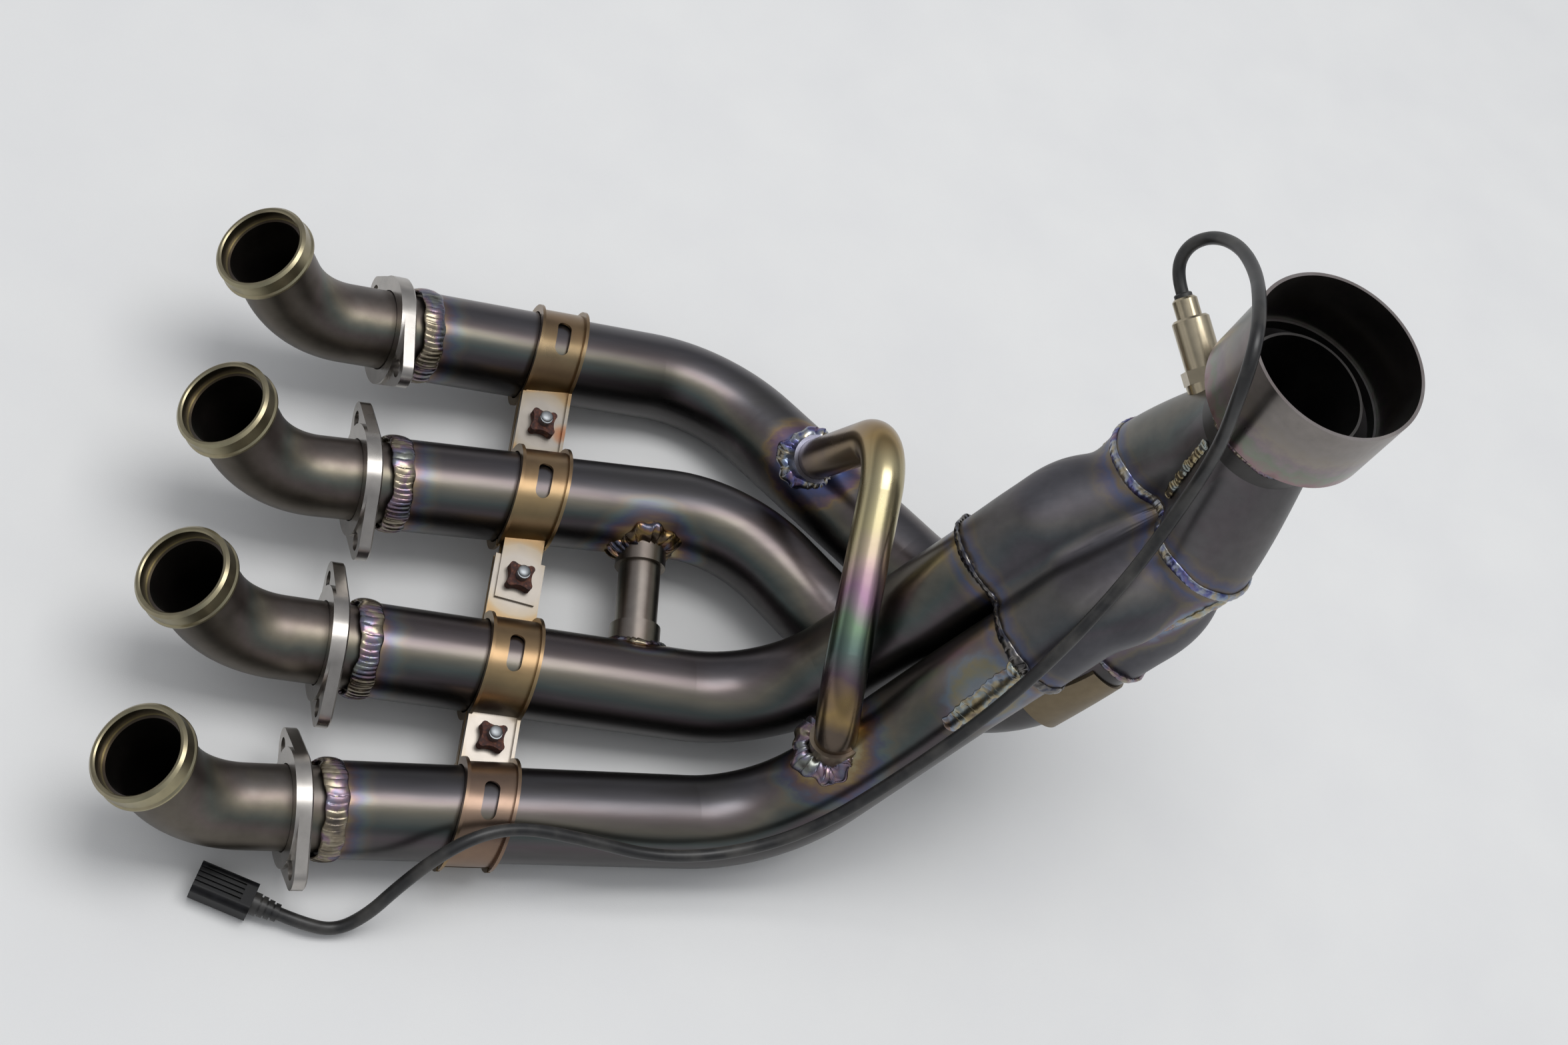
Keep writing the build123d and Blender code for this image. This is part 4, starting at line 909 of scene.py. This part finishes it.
# %% Beads round the saddles
SADDLE_RADIUS = 12.0 * MM
RIM_LAYER = 0.1 * MM
RING_TOP = 3 * MM
BEAD_OUT = 0.8 * MM
BEAD_LEAN = 0.6
SADDLE_BEADS = (
    ((10, 3.2, 4), silver_weld), ((4.5, 1.6, 4), silver_weld), ((11, 3.4, 4), burnt_weld),
    ((7.5, 2.8, 4), blue_weld),
)
for k, n in enumerate(NUMBERS):
    size_mm, metal = SADDLE_BEADS[k]
    side, up = frame_of(SADDLE_AXES[k])
    offset = vertices_of(f"balance_ring_{n}") - SADDLES[k]
    radius = np.hypot(offset @ side, offset @ up)
    height = offset @ SADDLE_AXES[k]
    outside = (radius > SADDLE_RADIUS - RIM_LAYER) & (height < height.max() - RING_TOP)
    angle = np.arctan2(offset @ up, offset @ side)[outside]
    order = np.argsort(angle)
    foot = np.interp(TURNS, angle[order], height[outside][order], period=2 * np.pi)
    spokes = spokes_round(SADDLE_AXES[k])
    ring = SADDLES[k] + spokes * (SADDLE_RADIUS + BEAD_OUT) + foot[:, None] * SADDLE_AXES[k]
    lean = spokes * BEAD_LEAN + SADDLE_AXES[k]
    bead(f"saddle_weld_{n}", ring, lean, size_mm, metal, seed=n + 8, lump=0.14)
print("beads so far", beads_so_far())

# %% [markdown]
# ## Seams of the collector
# The dark bead at the mouth crosses from pipe to pipe, and the blue one joins the two-into-one. Their
# paths could be drawn by hand, but the skins' own edges fit better: they carry the beads at the mouth
# and down the sides. The two-into-one's outline at the seam carries the blue bead, and its middle
# section the one in its crotch.

# %% Beads of the collector
INLET_BEAD = (5.5, 1.6, 4)
SHELL_BEAD = (5, 1.5, 4)
SIDE_BEAD = (6, 1.2, 3)
SEAM_BEAD = (5, 1.3, 3)
CROTCH_BEAD = (4.5, 1.3, 3)
# Columns left free at both ends of the mouths' edges, and the row where the side seams start.
INLET_FREE, SHELL_FREE, SIDE_ROW = 7, 3, 14
SEAM_POINTS = 420
NECK_BACK = 64 * MM
CROTCH_FROM, CROTCH_TO = np.radians((50, 136))
CROTCH_POINTS = 360
CROTCH_SPREAD = 8
CROTCH_RAISE = 0.9 * MM


def run_along(edge):
    """Evenly spaced points along an edge, and their directions away from the collector's chord."""
    steps = np.linalg.norm(np.diff(edge, axis=0), axis=1)
    run = np.concatenate(([0.0], np.cumsum(steps)))
    even = np.linspace(0.0, run[-1], SEAM_POINTS)
    path = np.column_stack([np.interp(even, run, edge[:, k]) for k in range(3)])
    chord = COLLECTOR_AT + np.linspace(0.0, 1.0, SEAM_POINTS)[:, None] * (SEAM_AT - COLLECTOR_AT)
    return path, path - chord


path, away = run_along(upper_skin[0, INLET_FREE:-INLET_FREE])
bead("collector_inlet_weld", path, away, INLET_BEAD, dark_weld, seed=21, closed=False, lump=0.12)
path, away = run_along(lower_skin[0, SHELL_FREE:-SHELL_FREE])
bead("lower_shell_weld", path, away, SHELL_BEAD, silver_weld, seed=23, closed=False, lump=0.15)
for name, column in (("near_side_weld", 0), ("far_side_weld", -1)):
    path, away = run_along(upper_skin[SIDE_ROW:, column])
    bead(f"collector_{name}", path, away, SIDE_BEAD, pale_weld, seed=24, closed=False, lump=0.12)
seam = SEAM_AT + SEAM_ALONG * MM
reach, away = section("two_into_one", seam, COLLECTOR_SIDE, -SEAM_DOWN, TURNS[0], TURNS[-1], RING_POINTS)
bead("collector_seam_weld", seam + reach[:, None] * away, away, SEAM_BEAD, blue_weld, seed=22)
neck = OUTLET_AT - OUTLET_AXIS * NECK_BACK
crotch = (SEAM_AT + neck) / 2
toward = unit(neck - SEAM_AT)
over = unit(-SEAM_DOWN + toward * (SEAM_DOWN @ toward))
reach, away = section("two_into_one", crotch, toward, over, CROTCH_FROM, CROTCH_TO, CROTCH_POINTS)
path = even_out(crotch + (reach[:, None] + CROTCH_RAISE) * away, CROTCH_SPREAD)
bead("crotch_weld", path, away, CROTCH_BEAD, pale_weld, seed=26, closed=False, lump=0.06)
print("beads so far", beads_so_far())

# %% [markdown]
# ## Patch on pipe 1
# A short, flat run of weld lies along the first pipe next to the mouth. Its line is straight and the
# pipe is bent, so each point of the line is moved onto the pipe. A shrinkwrap modifier would do that
# too, but the path has to be known before the bead is made.

# %% Patch on pipe 1
PATCH_RUN = unit((0.377, 0.383, 0.844))
PATCH_HALF = 25 * MM
PATCH_POINTS = 360
PATCH_SPREAD = 24
PATCH_BEAD = (9, 0.9, 6)


def onto(name, path):
    """Path moved onto a node: each point drops on the tangent plane of the nearest vertex."""
    places = vertices_of(name)
    normals = np.empty(places.size)
    NODES[name].data.vertex_normals.foreach_get("vector", normals)
    nearest = np.linalg.norm(path[:, None, :] - places[None, :, :], axis=2).argmin(axis=1)
    facing = normals.reshape(-1, 3)[nearest]
    return path - np.sum((path - places[nearest]) * facing, axis=1, keepdims=True) * facing, facing


line = PATCH_AT + np.linspace(-PATCH_HALF, PATCH_HALF, PATCH_POINTS)[:, None] * PATCH_RUN
path, away = (even_out(rows, PATCH_SPREAD) for rows in onto(f"primary_pipe_{PATCHED_PIPE}", line))
bead("patch_weld", path, away, PATCH_BEAD, pale_weld, seed=31, closed=False, lump=0.06)
print("beads so far", beads_so_far())

# %% [markdown]
# ## Bolt ends
# The ends of the clamp's bolts are turned to a low dome. Half a squashed sphere would do, but it would
# have to be cut, so a dome is a grid of rings whose radius and height follow a quarter of an ellipse.

# %% Bolt ends
BOLT_RADIUS = 3.0 * MM
DOME_RISE = 1.1 * MM
DOME_ROWS = 10
DOME_COLUMNS = 40
BOLT_NEAR = 20 * MM
END_LAYER = 0.2 * MM
CLAMP_UP = unit(np.cross(BOLTS[0] - BOLTS[2], PIPE_AXES[1]))
CLAMP_UP = CLAMP_UP * np.sign(CLAMP_UP[2])
spokes = spokes_round(CLAMP_UP, np.linspace(0, 2 * np.pi, DOME_COLUMNS, endpoint=False))
quarter = np.linspace(0.02, 1.0, DOME_ROWS)[:, None, None] * np.pi / 2
bolt_points = vertices_of("strap_bolts")
for k, bolt in enumerate(BOLTS):
    near = bolt_points[np.linalg.norm(bolt_points - bolt, axis=1) < BOLT_NEAR]
    top = ((near - bolt) @ CLAMP_UP).max()
    end = near[(near - bolt) @ CLAMP_UP > top - END_LAYER]
    centre = (end.min(axis=0) + end.max(axis=0)) / 2
    dome = centre + np.sin(quarter) * BOLT_RADIUS * spokes + np.cos(quarter) * DOME_RISE * CLAMP_UP
    grid_piece(f"bolt_dome_{k + 1}", dome, False, bolt_zinc)
print("bolt domes", len(BOLTS))

# %% [markdown]
# ## Floor
# The header lies on a pale table with a fine leather grain. A plain white plane would do, but the
# faint grain and patches keep the shadow from looking drawn.

# %% Floor
FLOOR_HALF = 4.0
PALE_LEATHER = ((0.3, "#dedede", 1), (0.7, "#e2e2e1", 1))
corners = np.array(((-1, -1, 0), (1, -1, 0), (1, 1, 0), (-1, 1, 0))) * FLOOR_HALF
floor_mesh = bpy.data.meshes.new("floor")
floor_mesh.from_pydata(corners.tolist(), [], [(0, 1, 2, 3)])
floor = bpy.data.objects.new("floor", floor_mesh)
bpy.context.scene.collection.objects.link(floor)
leather = rough_skin("pale_leather_table", PALE_LEATHER, size=60 * MM, rough=0.62, depth=0.1 * MM)
floor_mesh.materials.append(leather)
print("floor half", FLOOR_HALF, "m")

# %% [markdown]
# ## Light
# One large soft lamp hangs above, and the sky is bright overhead, dim halfway down and pale again at
# the horizon, like a room with pale walls. The dim part gives each tube its dark side, the lamp the
# bright line along its top, and the pale walls the light rim. One even sky would be simpler, but
# then the tubes would look like flat grey bands.

# %% Lamp and sky
SKY = (
    (0.0, "#e2e2e4", 1), (0.1, "#d6d7d9", 1), (0.3, "#8e9094", 1), (0.7, "#c6c8cc", 1), (1.0, "#eef0f2", 1),
)
SKY_STRENGTH = 0.98

lamp = bpy.data.objects.new("soft_lamp", bpy.data.lights.new("soft_lamp", "AREA"))
lamp.data.shape = "RECTANGLE"
lamp.data.size = 1.5
lamp.data.size_y = 0.85
lamp.data.energy = 19.0
lamp.location = (0.2, 0.2, 2.0)
bpy.context.scene.collection.objects.link(lamp)

world = bpy.data.worlds.new("studio")
bpy.context.scene.world = world
world.use_nodes = True
sky = world.node_tree
backdrop = sky.nodes["Background"]
direction = add(sky, "ShaderNodeTexCoord").outputs["Generated"]
upward = add(sky, "ShaderNodeSeparateXYZ", None, {0: direction}).outputs["Z"]
shade = set_ramp(add(sky, "ShaderNodeValToRGB", None, {"Fac": upward}), SKY)
sky.links.new(shade.outputs["Color"], backdrop.inputs["Color"])
backdrop.inputs["Strength"].default_value = SKY_STRENGTH
print("lamp", lamp.data.energy, "W, sky", SKY_STRENGTH)
